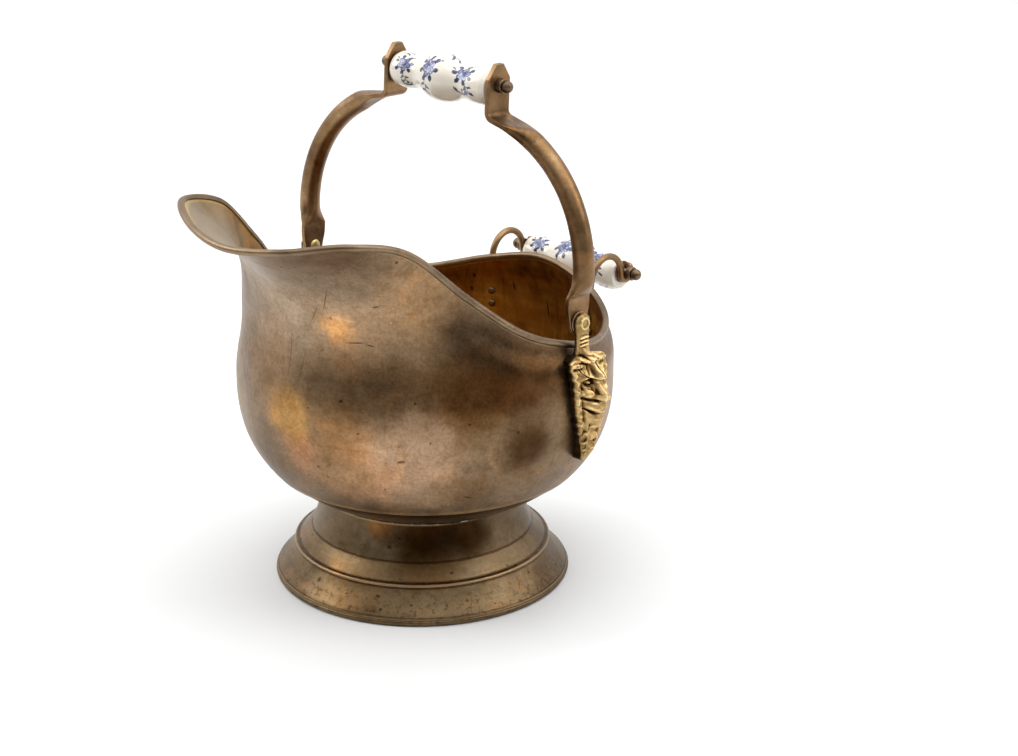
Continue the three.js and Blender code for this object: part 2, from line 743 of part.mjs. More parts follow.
// The bail is made with its pins' axis along X through zero, standing upright.
const tubeMiddle = strapMiddle + TUBE_OUTSET;
const shoulderCentre = tubeMiddle - SHOULDER_RADIUS;
const shoulderEnd = rad(SHOULDER_TURN);
const lugMiddle = washerOutside + GAP + STRAP_THICKNESS / 2;
const spindleUp = SHOULDER_RISE + SHOULDER_RADIUS * Math.sin(shoulderEnd) + LUG_RISE;
const DEPTH = vec(0, 1, 0);

function strapStations() {
  const flat = { across: DEPTH, along: UP, thick: STRAP_THICKNESS / 2, square: true };
  const round = [-0.97, -0.76, -0.4, 0].map((share) => ({
    ...flat,
    at: vec(strapMiddle, 0, share * EYE_RADIUS),
    wide: EYE_RADIUS * Math.sqrt(1 - share * share),
  }));
  const half = STRAP_WIDTH / 2;
  return [
    ...round,
    { ...flat, at: vec(strapMiddle, 0, 0.6 * STRAP_LENGTH), wide: half },
    { ...flat, at: vec(strapMiddle, 0, STRAP_LENGTH), wide: half },
  ];
}

function blendStations() {
  return [0.4, 0.7, 1].map((share) => ({
    at: vec(strapMiddle + share * TUBE_OUTSET, 0, STRAP_LENGTH + share * STRAP_BLEND),
    along: UP,
    across: DEPTH,
    wide: THREE.MathUtils.lerp(STRAP_WIDTH / 2, TUBE_RADIUS, share),
    thick: THREE.MathUtils.lerp(STRAP_THICKNESS / 2, TUBE_RADIUS, share),
  }));
}

const SHOULDER_STEPS = 8;
const LUG_STEPS = 3;

function shoulderStation(turn, flatness) {
  return {
    at: vec(shoulderCentre + SHOULDER_RADIUS * Math.cos(turn), 0,
      SHOULDER_RISE + SHOULDER_RADIUS * Math.sin(turn)),
    along: vec(-Math.sin(turn), 0, Math.cos(turn)),
    across: DEPTH,
    wide: THREE.MathUtils.lerp(TUBE_RADIUS, STRAP_WIDTH / 2, flatness),
    thick: THREE.MathUtils.lerp(TUBE_RADIUS, STRAP_THICKNESS / 2, flatness),
    square: flatness === 1,
  };
}

function shoulderStations() {
  const stations = [];
  const roundEnd = shoulderEnd - rad(LUG_FLATTENING);
  for (let i = 0; i <= SHOULDER_STEPS; i += 1) {
    stations.push(shoulderStation((i / SHOULDER_STEPS) * roundEnd, 0));
  }
  for (let i = 1; i <= LUG_STEPS; i += 1) {
    const share = i / LUG_STEPS;
    stations.push(shoulderStation(THREE.MathUtils.lerp(roundEnd, shoulderEnd, share), share));
  }
  return stations;
}

// The flattened end runs on to the lug's foot, bends upright and is clipped.
function lugStations() {
  const heading = vec(-Math.sin(shoulderEnd), 0, Math.cos(shoulderEnd));
  const end = shoulderStation(shoulderEnd, 1).at;
  const corner = end.clone().addScaledVector(heading, (end.x - lugMiddle) / Math.sin(shoulderEnd));
  const reach = LUG_BEND_RADIUS * Math.tan(shoulderEnd / 2);
  const centre = vec(lugMiddle + LUG_BEND_RADIUS, 0, corner.z + reach);
  const flat = { across: DEPTH, wide: STRAP_WIDTH / 2, thick: STRAP_THICKNESS / 2, square: true };
  const stations = [0, 1, 2, 3].map((i) => {
    const left = shoulderEnd * (1 - i / 3);
    const along = vec(-Math.sin(left), 0, Math.cos(left));
    const at = centre.clone().add(vec(-Math.cos(left), 0, -Math.sin(left)).multiplyScalar(LUG_BEND_RADIUS));
    return { ...flat, at, along };
  });
  const tip = { ...flat, along: UP };
  stations.push({ ...tip, at: vec(lugMiddle, 0, spindleUp + LUG_SHOULDER) });
  stations.push({ ...tip, at: vec(lugMiddle, 0, spindleUp + LUG_TOP), wide: LUG_TIP_WIDTH / 2 });
  return stations;
}

const ARM_SIDES = 12;

function bailArm() {
  const stations = [...strapStations(), ...blendStations(), ...shoulderStations(), ...lugStations()];
  const pinHole = rodX(PIN_RADIUS + GAP, strapInside - THROUGH, strapOutside + THROUGH, 0, 0);
  const out = STRAP_THICKNESS;
  const spindleHole = rodX(SPINDLE_RADIUS + GAP, lugMiddle - out, lugMiddle + out, 0, spindleUp);
  return cut(loft(stations, ARM_SIDES), pinHole, spindleHole);
}

// ------------------------------------------------- grips, washers, cap nuts

// Outside of the grip from end to end, as [radius, distance from the middle].
function gripOutside() {
  const half = GRIP_LENGTH / 2;
  const side = [
    [GRIP_END_RADIUS, half],
    [0.97 * GRIP_SIDE_RADIUS, 0.9 * half],
    [GRIP_SIDE_RADIUS, 0.72 * half],
    [GRIP_NECK_RADIUS, 0.46 * half],
    [0.75 * GRIP_RADIUS + 0.25 * GRIP_NECK_RADIUS, 0.2 * half],
  ];
  const other = side.map(([r, x]) => [r, -x]);
  const knots = [...other, [GRIP_RADIUS, 0], ...side.reverse()];
  const curve = new THREE.SplineCurve(knots.map(([r, x]) => new THREE.Vector2(r, x)));
  return curve.getPoints(GRIP_STEPS).map((p) => [p.x, p.y]);
}

function grip(y, z) {
  const bore = [[GRIP_BORE_RADIUS, GRIP_LENGTH / 2], [GRIP_BORE_RADIUS, -GRIP_LENGTH / 2]];
  const profile = [...gripOutside(), ...bore];
  return turnedRing(profile, GRIP_SEGMENTS).rotateY(Math.PI / 2).translate(0, y, z - gripSag);
}

function washer(bore, radius, inside, y, z) {
  const profile = [
    [bore, inside],
    [radius, inside],
    [radius, inside + WASHER_THICKNESS],
    [bore, inside + WASHER_THICKNESS],
  ];
  return turnedRing(profile, ROUND_SEGMENTS).rotateY(Math.PI / 2).translate(0, y, z);
}

function capNut(inside, y, z) {
  const bore = SPINDLE_RADIUS + GAP;
  const waist = NUT_COLLAR + 0.25 * NUT_BALL_RADIUS;
  const ball = NUT_COLLAR + NUT_BALL_RADIUS;
  const profile = [
    [0, NUT_BORE_DEPTH],
    [bore, NUT_BORE_DEPTH],
    [bore, 0],
    [NUT_RADIUS, 0],
    [NUT_RADIUS, NUT_COLLAR],
    [0.86 * NUT_BALL_RADIUS, waist],
    [NUT_BALL_RADIUS, ball - 0.4 * NUT_BALL_RADIUS],
    [0.9 * NUT_BALL_RADIUS, ball],
    [0.55 * NUT_BALL_RADIUS, ball + 0.4 * NUT_BALL_RADIUS],
    [0, ball + 0.55 * NUT_BALL_RADIUS],
  ].map(([r, x]) => [r, inside + x]);
  return turned(profile).rotateY(Math.PI / 2).translate(0, y, z);
}

function spindle(nutInside, y, z) {
  const half = nutInside + NUT_BORE_DEPTH - GAP;
  return rodX(SPINDLE_RADIUS, -half, half, y, z);
}

// ---------------------------------------------------------------- rear hooks

const HOOK_SIDES = 8;
const ARCH_STEPS = 7;
const EYE_STEPS = 8;

// Each hook starts flat against the wall, passes the rim wire, arches over and
// curls round the rear spindle from below.
function hook() {
  const dir = rimAt(hookColumn).dir;
  const footMiddle = GAP + HOOK_FOOT_THICKNESS / 2;
  const along = (height, distance) => offWall(hookColumn, levelAt(hookColumn, height), distance);
  const tangential = UP.clone().cross(dir).normalize();
  const stations = [];
  const footLow = hookRim.z - HOOK_FOOT_DROP;
  const footEnds = [0, 0.12, 0.4, 0.7, 1].map((share) => footLow + share * HOOK_FOOT_LENGTH);
  footEnds.forEach((height, i) => {
    const rise = along(height + 1, footMiddle).sub(along(height - 1, footMiddle));
    stations.push({
      at: along(height, footMiddle),
      along: rise.normalize(),
      across: tangential,
      wide: (i === 0 ? 0.7 : 1) * (HOOK_FOOT_WIDTH / 2),
      thick: HOOK_FOOT_THICKNESS / 2,
      square: true,
    });
  });
  const round = { across: vec(1, 0, 0), wide: ROD_RADIUS, thick: ROD_RADIUS };
  const eye = SPINDLE_RADIUS + GAP + ROD_RADIUS;
  const legY = hookRim.y + legStandOff * dir.y;
  const archEnd = rearSpindleY - eye;
  const archRadius = (archEnd - legY) / 2;
  const passing = along(hookRim.z - 0.35 * (HOOK_FOOT_DROP - HOOK_FOOT_LENGTH), ROD_RADIUS + 2 * GAP);
  stations.push({ ...round, at: passing, along: vec(0, 0.1, 1).normalize() });
  const centre = vec(hookMiddle, (legY + archEnd) / 2, rearSpindleZ);
  for (let i = 0; i <= ARCH_STEPS; i += 1) {
    const angle = Math.PI * (1 - i / ARCH_STEPS);
    const ray = vec(0, Math.cos(angle), Math.sin(angle));
    const at = centre.clone().addScaledVector(ray, archRadius);
    stations.push({ ...round, at, along: vec(0, Math.sin(angle), -Math.cos(angle)) });
  }
  for (let i = 1; i <= EYE_STEPS; i += 1) {
    const angle = Math.PI + rad(HOOK_EYE_TURN) * (i / EYE_STEPS);
    const at = vec(hookMiddle, rearSpindleY + eye * Math.cos(angle), rearSpindleZ + eye * Math.sin(angle));
    stations.push({ ...round, at, along: vec(0, -Math.sin(angle), Math.cos(angle)) });
  }
  return cut(loft(stations, HOOK_SIDES), bowlBlank(GAP), ...hookRivetHoles());
}

// ---------------------------------------------------------------------- body

function bodyShell() {
  const outside = wallRings(0);
  const inside = wallRings(-SHEET).reverse();
  const right = [...maskRivetHoles(), ...hookRivetHoles()];
  return cut(skin([...outside, ...inside], true), ...right, ...right.map((tool) => mirrored(weld(tool))));
}

addPart('foot_wire', footWire(), agedBrass);
addPart('foot', foot(), agedBrass);
addPart('bowl_bottom', bottomPan(), agedBrass);
addPart('body_shell', bodyShell(), agedBrass);
addPart('rim_wire', rimWire(), agedBrass);

addPair('mask', mask(), castBrass);
addPair('bail_pin', bailPin(), castBrass);
['upper', 'lower'].forEach((place, i) => {
  const piece = rivet(MASK_RIVET_RADIUS, maskRivetLength - GAP);
  addPair(`mask_rivet_${place}`, placeOnWall(piece, maskColumn, maskRivetHeights[i], -headSeat), agedBrass);
});

addPair('rear_hook', hook(), bailBrass);
['upper', 'lower'].forEach((place, i) => {
  const piece = rivet(HOOK_RIVET_RADIUS, hookRivetLength, true);
  addPair(`hook_rivet_${place}`, placeOnWall(piece, hookColumn, hookRivetHeights[i], -headSeat), bailBrass);
});
const spindleBore = SPINDLE_RADIUS + GAP;
addPart('rear_spindle', spindle(hookOutside + GAP, rearSpindleY, rearSpindleZ), steel);
addPart('rear_grip', grip(rearSpindleY, rearSpindleZ), porcelain);
addPair('rear_washer', washer(spindleBore, WASHER_RADIUS, washerInside, rearSpindleY, rearSpindleZ), leather);
addPair('rear_nut', capNut(hookOutside + GAP, rearSpindleY, rearSpindleZ), bailBrass);

const bail = new THREE.Group();
bail.position.set(0, MASK_SET_BACK, pinHeight);
bail.rotation.x = -rad(BAIL_LEAN);
scuttle.add(bail);
const lugOutside = lugMiddle + STRAP_THICKNESS / 2;
addPair('bail_arm', bailArm(), bailBrass, bail);
addPair('pin_washer', washer(PIN_RADIUS + GAP, 0.9 * EYE_RADIUS, strapOutside + GAP, 0, 0), bailBrass, bail);
addPart('bail_spindle', spindle(lugOutside + GAP, 0, spindleUp), steel, bail);
addPart('bail_grip', grip(0, spindleUp), porcelain, bail);
addPair('bail_washer', washer(spindleBore, WASHER_RADIUS, washerInside, 0, spindleUp), leather, bail);
addPair('bail_nut', capNut(lugOutside + GAP, 0, spindleUp), bailBrass, bail);

export default scuttle;
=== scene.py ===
"""Looks of the helmet coal scuttle: fine meshes, procedural materials, studio.

Lengths below are in millimetres and are turned to metres when a mesh is made.
The right-hand piece of each pair is built on the +X side and then mirrored.
"""
import math

import bpy
import numpy as np
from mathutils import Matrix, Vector


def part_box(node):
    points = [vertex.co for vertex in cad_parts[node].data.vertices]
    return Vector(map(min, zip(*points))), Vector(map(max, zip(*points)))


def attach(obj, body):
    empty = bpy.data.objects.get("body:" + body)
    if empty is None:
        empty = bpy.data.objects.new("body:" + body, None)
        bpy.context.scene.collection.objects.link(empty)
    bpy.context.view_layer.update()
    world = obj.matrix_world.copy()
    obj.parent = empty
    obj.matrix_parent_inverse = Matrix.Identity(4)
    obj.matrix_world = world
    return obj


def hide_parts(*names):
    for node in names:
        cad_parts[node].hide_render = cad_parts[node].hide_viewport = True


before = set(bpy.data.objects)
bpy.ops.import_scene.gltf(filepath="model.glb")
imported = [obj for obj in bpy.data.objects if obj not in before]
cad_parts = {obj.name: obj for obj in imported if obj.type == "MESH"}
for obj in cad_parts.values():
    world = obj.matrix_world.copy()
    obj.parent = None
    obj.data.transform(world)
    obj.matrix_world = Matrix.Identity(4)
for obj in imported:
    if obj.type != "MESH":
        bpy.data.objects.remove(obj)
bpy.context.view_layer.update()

PI = math.pi
MM = 0.001

# ------------------------------------------------------------------ dimensions

SHEET = 1.2
GAP = 0.3
BOWL_SET_BACK, BELLY_RADIUS, BELLY_HEIGHT = 5.7, 146.4, 165.6
BOWL_DROP, BOWL_POWER = 111.0, 2.4
WAIST_INSET, WAIST_SHARE = 8.0, 0.42
SEAM_HEIGHT, SEAM_LAP = 92.0, 7.0
# rim: degrees from the lip, radius beyond the belly's, height over the belly, lean
RIM = [
    (0, 55.0, 144.0, 60), (13.7, 50.3, 148.0, 57), (27.6, 39.5, 153.8, 50),
    (39.8, 6.8, 140.0, 24), (57.3, -13.0, 99.2, 8), (76.1, -10.8, 66.3, 3),
    (96.5, -9.6, 47.0, -12), (117.6, -8.8, 36.4, -18), (139.2, -5.8, 36.8, -15),
    (158.8, -6.7, 47.4, -8), (180, -10.0, 56.8, -2),
]
RIM_LOW, RIM_HIGH = 36.4, 153.8
RIM_BEAD = 2.8
FOOT_RADIUS, FOOT_BEAD = 116.0, 2.6
PIN_Y, PIN_Z = 22.0, 231.443
EAR_BACK, EAR_FRONT = 143.53, 147.13
PLATE_FRONT = 149.5
STRAP_MIDDLE = 139.73
SPINDLE_UP = 162.579
BAIL_LEAN = math.radians(3.6)
REAR_Y, REAR_Z = 184.7, 211.0
STRAP_WIDE, STRAP_THICK, TUBE_RADIUS = 11.7, 2.0, 8.0
LUG_X, LUG_BEND, EYE_RADIUS = 52.3, 6.0, 9.2
SHOULDER_X, SHOULDER_RADIUS, SHOULDER_RISE = 144.23, 103.4, 35.25
GRIP_HALF, SPINDLE_RADIUS, BORE_RADIUS = 48.5, 3.0, 3.3
BAIL_NUT_AT, REAR_NUT_AT, BAIL_ROD_HALF, REAR_ROD_HALF = 54.6, 56.0, 60.3, 61.7
HOOK_RADIUS, HOOK_EYE = 2.7, 6.0
MASK_TOP, MASK_FOOT, MASK_DEEPEST = -7.35, 107.25, 172.4
SOLDER_RADIUS = 78.2
WASHER_THICK, WASHER_RADIUS, PIN_WASHER_RADIUS = 1.2, 8.6, 8.3
MASK_RIVET_RADIUS, HOOK_RIVET_RADIUS, HOOK_STRAP_THICK = 1.8, 1.6, 2.4
# rivets: below the pin on the masks, below the rim on the hooks
MASK_RIVET_DROPS, HOOK_RIVET_DROPS = (60.3, 84.3), (30, 41)


# -------------------------------------------------------------- mesh utilities

def quads(rows, columns, wrap_rows=False, wrap_columns=True):
    """Quads between the points of a rows x columns grid, as an (n, 4) array."""
    i = np.arange(rows if wrap_rows else rows - 1)
    j = np.arange(columns if wrap_columns else columns - 1)
    i, j = np.meshgrid(i, j, indexing="ij")
    i2 = (i + 1) % rows
    j2 = (j + 1) % columns
    face = np.stack([i * columns + j, i * columns + j2, i2 * columns + j2, i2 * columns + j], -1)
    return face.reshape(-1, 4)


def signed_volume(points, faces):
    a, b, c, d = (points[faces[:, k]] for k in range(4))
    return float(np.sum(np.einsum("ij,ij->i", a, np.cross(b, c) + np.cross(c, d))))


class Shape:
    """Points and quads gathered from several grids, with a material number each."""

    def __init__(self):
        self.points, self.faces, self.slots, self.count = [], [], [], 0
        self.relief = None

    def grid(self, rings, slot=0, wrap_rows=False, wrap_columns=True):
        rings = np.asarray(rings, float)
        rows, columns = rings.shape[:2]
        face = quads(rows, columns, wrap_rows, wrap_columns) + self.count
        self.points.append(rings.reshape(-1, 3))
        self.faces.append(face)
        self.slots.append(np.full(len(face), slot))
        self.count += rows * columns
        return self

    def arrays(self):
        return np.concatenate(self.points), np.concatenate(self.faces), np.concatenate(self.slots)


def make(name, shape, body, materials, stands_for=(), sharp=35, side=1):
    """A piece from a Shape. side -1 mirrors it to the -X side."""
    points, faces, slots = shape.arrays()
    points = points * MM
    if side < 0:
        points = points * [-1, 1, 1]
    if signed_volume(points, faces) < 0:
        faces = faces[:, ::-1]
    mesh = bpy.data.meshes.new(name)
    mesh.vertices.add(len(points))
    mesh.vertices.foreach_set("co", points.ravel())
    mesh.loops.add(faces.size)
    mesh.loops.foreach_set("vertex_index", np.ascontiguousarray(faces).ravel())
    mesh.polygons.add(len(faces))
    mesh.polygons.foreach_set("loop_start", np.arange(0, faces.size, 4))
    mesh.polygons.foreach_set("material_index", slots)
    mesh.update(calc_edges=True)
    mesh.validate()
    mesh.shade_smooth()
    mesh.set_sharp_from_angle(angle=math.radians(sharp))
    if shape.relief is not None:
        mesh.attributes.new("relief", "FLOAT", "POINT").data.foreach_set("value", shape.relief)
    piece = bpy.data.objects.new(name, mesh)
    bpy.context.scene.collection.objects.link(piece)
    for material in materials:
        mesh.materials.append(material)
    if stands_for:
        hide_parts(*stands_for)
    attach(piece, body)
    return piece


def both(name, build, body, materials, sharp=35):
    """The left and right piece of a mirrored pair."""
    for side, word in ((1, "right"), (-1, "left")):
        make(f"{name}_{word}_fine", build(), body, materials, (f"{name}_{word}",), sharp, side)


def smooth(a, b, c, d, f):
    """The share f of the way from b to c, on a curve that runs on to a and d."""
    return 0.5 * (2 * b + (c - a) * f + (2 * a - 5 * b + 4 * c - d) * f ** 2
                  + (3 * b - a - 3 * c + d) * f ** 3)


def arched(a, b, c, s):
    """The share s of the way from a to c, on an arch drawn towards b."""
    return (1 - s) ** 2 * a + 2 * s * (1 - s) * b + s * s * c


def spline(knots, count):
    """count points along a smooth curve through the knots."""
    k = np.asarray(knots, float)
    k = np.vstack([2 * k[0] - k[1], k, 2 * k[-1] - k[-2]])
    spans = len(k) - 3
    t = np.linspace(0, spans, count)
    i = np.minimum(t.astype(int), spans - 1)
    f = (t - i)[:, None]
    return smooth(k[i], k[i + 1], k[i + 2], k[i + 3], f)


def lathe(profile, segments=96):
    """Rings of a turned shape about Z from (radius, height) pairs."""
    profile = np.asarray(profile, float)
    turn = np.linspace(0, 2 * PI, segments, endpoint=False)
    r, z = profile[:, 0, None], profile[:, 1, None]
    return np.stack([r * np.cos(turn), r * np.sin(turn), z + 0 * turn], -1)


def along_x(rings, y, z):
    """Turns a shape made about Z so that it lies along X at the given place."""
    rings = np.asarray(rings)
    return np.stack([rings[..., 2], rings[..., 0] + y, rings[..., 1] + z], -1)


def rounded(profile, radius, steps=4):
    """A (radius, height) outline with its inner corners rounded off."""
    p = np.asarray(profile, float)
    out = [p[0]]
    for a, b, c in zip(p[:-2], p[1:-1], p[2:]):
        la, lc = np.linalg.norm(a - b), np.linalg.norm(c - b)
        r = min(radius, 0.45 * la, 0.45 * lc)
        start, end = b + (a - b) / la * r, b + (c - b) / lc * r
        for s in np.linspace(0, 1, steps):
            out.append(arched(start, b, end, s))
    out.append(p[-1])
    return np.array(out)


def waves(points, scale, seed, octaves=3):
    """Smooth repeatable unevenness, about -1 to 1, from sums of sines."""
    rng = np.random.default_rng(seed)
    total = np.zeros(points.shape[:-1])
    gain = 1.0
    for octave in range(octaves):
        for _ in range(4):
            direction = rng.normal(size=3)
            direction *= 2 * PI * 2 ** octave / (scale * np.linalg.norm(direction))
            total += gain * np.sin(points @ direction + rng.uniform(0, 2 * PI)) / 4
        gain *= 0.5
    return total


# --------------------------------------------------------------- bowl geometry

def rim_knots():
    ring = RIM + [(-turn, out, up, lean) for turn, out, up, lean in RIM[-2:0:-1]]
    knots = []
    for turn, out, up, lean in ring:
        radius, angle = BELLY_RADIUS + out, math.radians(turn)
        knots.append((radius * math.sin(angle), BOWL_SET_BACK - radius * math.cos(angle),
                      BELLY_HEIGHT + up, math.radians(lean)))
    return np.array(knots)


KNOTS = rim_knots()


def rim(t):
    """Position and lean of the rim at t, 0 at the lip and 0.5 at the back."""
    n = len(KNOTS)
    u = np.mod(np.asarray(t, float), 1.0) * n
    i = np.floor(u).astype(int)
    f = (u - i)[..., None]
    return smooth(*(KNOTS[(i + k) % n] for k in (-1, 0, 1, 2)), f)


def bezier(a, b, c, d, s):
    u = 1 - s
    return u ** 3 * a + 3 * u * u * s * b + 3 * u * s * s * c + s ** 3 * d


def phi_at(height):
    return math.asin(((BELLY_HEIGHT - height) / BOWL_DROP) ** (BOWL_POWER / 2))


SEAM_PHI = phi_at(SEAM_HEIGHT)
LAP_PHI = phi_at(SEAM_HEIGHT + SEAM_LAP)


def lower_bowl(phi, inset=0.0):
    across = np.cos(phi) ** (2 / BOWL_POWER)
    down = np.sin(phi) ** (2 / BOWL_POWER)
    nr = across ** (BOWL_POWER - 1) / BELLY_RADIUS
    nz = down ** (BOWL_POWER - 1) / BOWL_DROP
    length = np.hypot(nr, nz)
    return (BELLY_RADIUS * across - inset * nr / length,
            BELLY_HEIGHT - BOWL_DROP * down + inset * nz / length)


def wall(t, level):
    """Outside of the wall: level 0 seam, 1 belly, 2 waist, 3 middle of the rim."""
    t, level = np.broadcast_arrays(np.asarray(t, float), np.asarray(level, float))
    edge = rim(t)
    dx, dy = edge[..., 0], edge[..., 1] - BOWL_SET_BACK
    radius, height, lean = np.hypot(dx, dy), edge[..., 2], edge[..., 3]
    share = (height - BELLY_HEIGHT - RIM_LOW) / (RIM_HIGH - RIM_LOW)
    waist_r = BELLY_RADIUS - WAIST_INSET * np.maximum(share, 0)
    waist_z = BELLY_HEIGHT + WAIST_SHARE * (height - BELLY_HEIGHT)
    r0, z0 = lower_bowl(SEAM_PHI * (1 - np.clip(level, 0, 1)))
    s = np.clip(level - 1, 0, 1)
    hold = 0.4 * (waist_z - BELLY_HEIGHT)
    r1 = bezier(BELLY_RADIUS, BELLY_RADIUS, waist_r, waist_r, s)
    z1 = bezier(BELLY_HEIGHT, BELLY_HEIGHT + hold, waist_z - hold, waist_z, s)
    s = np.clip(level - 2, 0, 1)
    hold = 0.45 * np.hypot(radius - waist_r, height - waist_z)
    r2 = bezier(waist_r, waist_r, radius - hold * np.sin(lean), radius, s)
    z2 = bezier(waist_z, waist_z + hold, height - hold * np.cos(lean), height, s)
    r = np.where(level <= 1, r0, np.where(level <= 2, r1, r2))
    z = np.where(level <= 1, z0, np.where(level <= 2, z1, z2))
    return np.stack([dx / radius * r, BOWL_SET_BACK + dy / radius * r, z], -1)


def wall_normal(t, level):
    small = 2e-3
    low = np.maximum(level - small, 0)
    up = wall(t, low + 2 * small) - wall(t, low)
    side = wall(t + small / 2, level) - wall(t - small / 2, level)
    out = np.cross(side, up)
    return out / np.linalg.norm(out, axis=-1, keepdims=True)


# shallow knocks in the sheet: turn from the lip in degrees, height, radius, depth
DENTS = [
    (62, 205, 17, 0.9), (25, 150, 14, 0.6), (48, 120, 20, 0.8), (14, 190, 16, 0.7),
    (-30, 170, 22, 0.9), (-75, 140, 18, 0.8), (120, 160, 24, 1.0), (160, 130, 18, 0.7),
    (-140, 185, 20, 0.9), (80, 130, 12, 0.5), (36, 232, 13, 0.6), (-110, 120, 16, 0.6),
]


def dented(points):
    """How far the sheet is knocked in at each point."""
    depth = 0.28 * waves(points, 95, 5) + 0.09 * waves(points, 30, 8, 2)
    for turn, height, radius, deep in DENTS:
        a = math.radians(turn)
        middle = np.array([BELLY_RADIUS * math.sin(a), BOWL_SET_BACK - BELLY_RADIUS * math.cos(a), height])
        away = np.linalg.norm(points - middle, axis=-1) / radius
        depth += deep * np.exp(-away ** 2 * 1.5)
    return np.clip(depth, 0, 1.4)


def top_level(t):
    """Level where the sheet meets the rim's wire."""
    edge = rim(t)[..., :3]
    low, high = np.full(t.shape, 2.0), np.full(t.shape, 3.0)
    for _ in range(20):
        middle = (low + high) / 2
        far = np.linalg.norm(wall(t, middle) - edge, axis=-1) > RIM_BEAD * 0.9
        low, high = np.where(far, middle, low), np.where(far, high, middle)
    return low


COLUMNS = 300
AROUND = np.arange(COLUMNS) / COLUMNS


def wall_rings(depth):
    top = top_level(AROUND)
    levels = [np.full(COLUMNS, v) for v in np.linspace(0, 1, 16)[:-1]]
    levels += [np.full(COLUMNS, v) for v in np.linspace(1, 2, 16)[:-1]]
    levels += [2 + (top - 2) * v for v in np.linspace(0, 1, 30)]
    rings = []
    for level in levels:
        points = wall(AROUND, level)
        out = wall_normal(AROUND, level)
        fade = np.clip((top - level) * 6, 0, 1) * np.clip(level * 8, 0, 1)
        rings.append(points - out * (depth + dented(points) * fade)[:, None])
    return np.array(rings)


def body_shape():
    shape = Shape()
    outside, inside = wall_rings(0.0), wall_rings(SHEET)
    shape.grid(outside, 0)
    shape.grid(inside[::-1], 1)
    shape.grid([outside[-1], inside[-1]], 0)
    shape.grid([inside[0], outside[0]], 0)
    return shape


def rim_shape():
    """The rolled rim: the sheet wrapped round a wire, its cut edge turned under."""
    t = np.arange(2 * COLUMNS) / (2 * COLUMNS)
    centre = rim(t)[:, :3]
    along = rim(t + 1e-4)[:, :3] - rim(t - 1e-4)[:, :3]
    along /= np.linalg.norm(along, axis=1, keepdims=True)
    down = wall(t, np.full(t.shape, 2.93)) - centre
    down -= along * np.sum(down * along, 1)[:, None]
    down /= np.linalg.norm(down, axis=1, keepdims=True)
    out = np.cross(down, along)
    size = 1 + 0.035 * waves(centre, 40, 3)
    rings = []
    for a in np.linspace(0, 2 * PI, 26, endpoint=False):
        lip = 0.25 * np.exp(-((a - 5.35) / 0.16) ** 2) - 0.45 * np.exp(-((a - 5.62) / 0.12) ** 2)
        r = (RIM_BEAD - 0.12 + lip) * size
        rings.append(centre + (np.cos(a) * r)[:, None] * down + (np.sin(a) * r)[:, None] * out)
    return Shape().grid(rings, wrap_rows=True)


def pan_shape():
    shape = Shape()
    edge = rim(AROUND)
    direction = edge[:, :2] - [0, BOWL_SET_BACK]
    direction /= np.linalg.norm(direction, axis=1, keepdims=True)

    def ring(phi, inset):
        r, z = lower_bowl(phi, inset)
        return np.column_stack([direction * r + [0, BOWL_SET_BACK], np.full(COLUMNS, z)])

    phis = np.append(np.linspace(LAP_PHI, math.radians(80), 30), np.radians([84, 87, 88.8, 89.9]))
    outer = [ring(phi, SHEET + GAP) for phi in phis]
    inner = [ring(phi, 2 * SHEET + GAP) for phi in phis]
    shape.grid([*outer, *inner[::-1]], 0, wrap_rows=True)
    shape.slots[0] = np.repeat([0] * len(outer) + [1] * len(inner), COLUMNS)
    return shape


# ------------------------------------------------------------------------ foot

def foot_outline():
    """Outside of the foot from the rolled edge up to the collar."""
    skirt = FOOT_RADIUS - FOOT_BEAD + SHEET / 2
    run = []

    def curve(a, b, c, count):
        a, b, c = np.array([a, b, c])
        run.extend(arched(a, b, c, s) for s in np.linspace(0, 1, count)[:-1])

    run.extend([(skirt + 0.9, 4.6), (skirt + 0.8, 5.6), (skirt + 0.1, 6.1)])
    curve((skirt - 0.25, 6.7), ((skirt + 99.6) / 2 - 2.2, 15.3), (99.5, 24.4), 14)
    run.extend([(99.5, 24.4), (99.9, 25.0), (100.6, 25.5), (100.9, 26.3), (100.5, 27.2),
                (99.6, 27.8), (98.6, 27.9), (98.0, 27.9)])
    curve((97.3, 28.3), (92.6, 33.4), (87.0, 39.6), 10)
    run.extend([(87.0, 39.6), (86.6, 40.3)])
    curve((86.3, 41.0), (79.6, 55.4), (78.0, 70.6), 16)
    return np.array(run)


def pan_height(points, inset):
    """Height of the pan's underside above each point."""
    r, z = lower_bowl(np.linspace(0.3, 1.56, 600), inset)
    return np.interp(np.hypot(points[..., 0], points[..., 1] - BOWL_SET_BACK), r[::-1], z[::-1])


def foot_shape():
    outside = foot_outline()
    slope = np.gradient(outside, axis=0)
    normal = np.column_stack([slope[:, 1], -slope[:, 0]])
    normal /= np.linalg.norm(normal, axis=1, keepdims=True)
    inside = outside - normal * SHEET
    rings = lathe(np.vstack([outside, inside[::-1]]), 240)
    # the collar's top ends against the pan's outside
    rings[..., 2] = np.minimum(rings[..., 2], pan_height(rings, SHEET + GAP - 0.25) - 0.05)
    shake = 0.16 * waves(rings, 70, 11) + 0.05 * waves(rings, 18, 12, 2)
    away = rings[..., :2] / np.linalg.norm(rings[..., :2], axis=-1, keepdims=True)
    fade = np.clip((rings[..., 2] - 6) / 8, 0, 1) * np.clip((66 - rings[..., 2]) / 12, 0, 1)
    rings[..., :2] -= away * np.clip(shake * fade, -0.25, 0.3)[..., None]
    return Shape().grid(rings, wrap_rows=True)


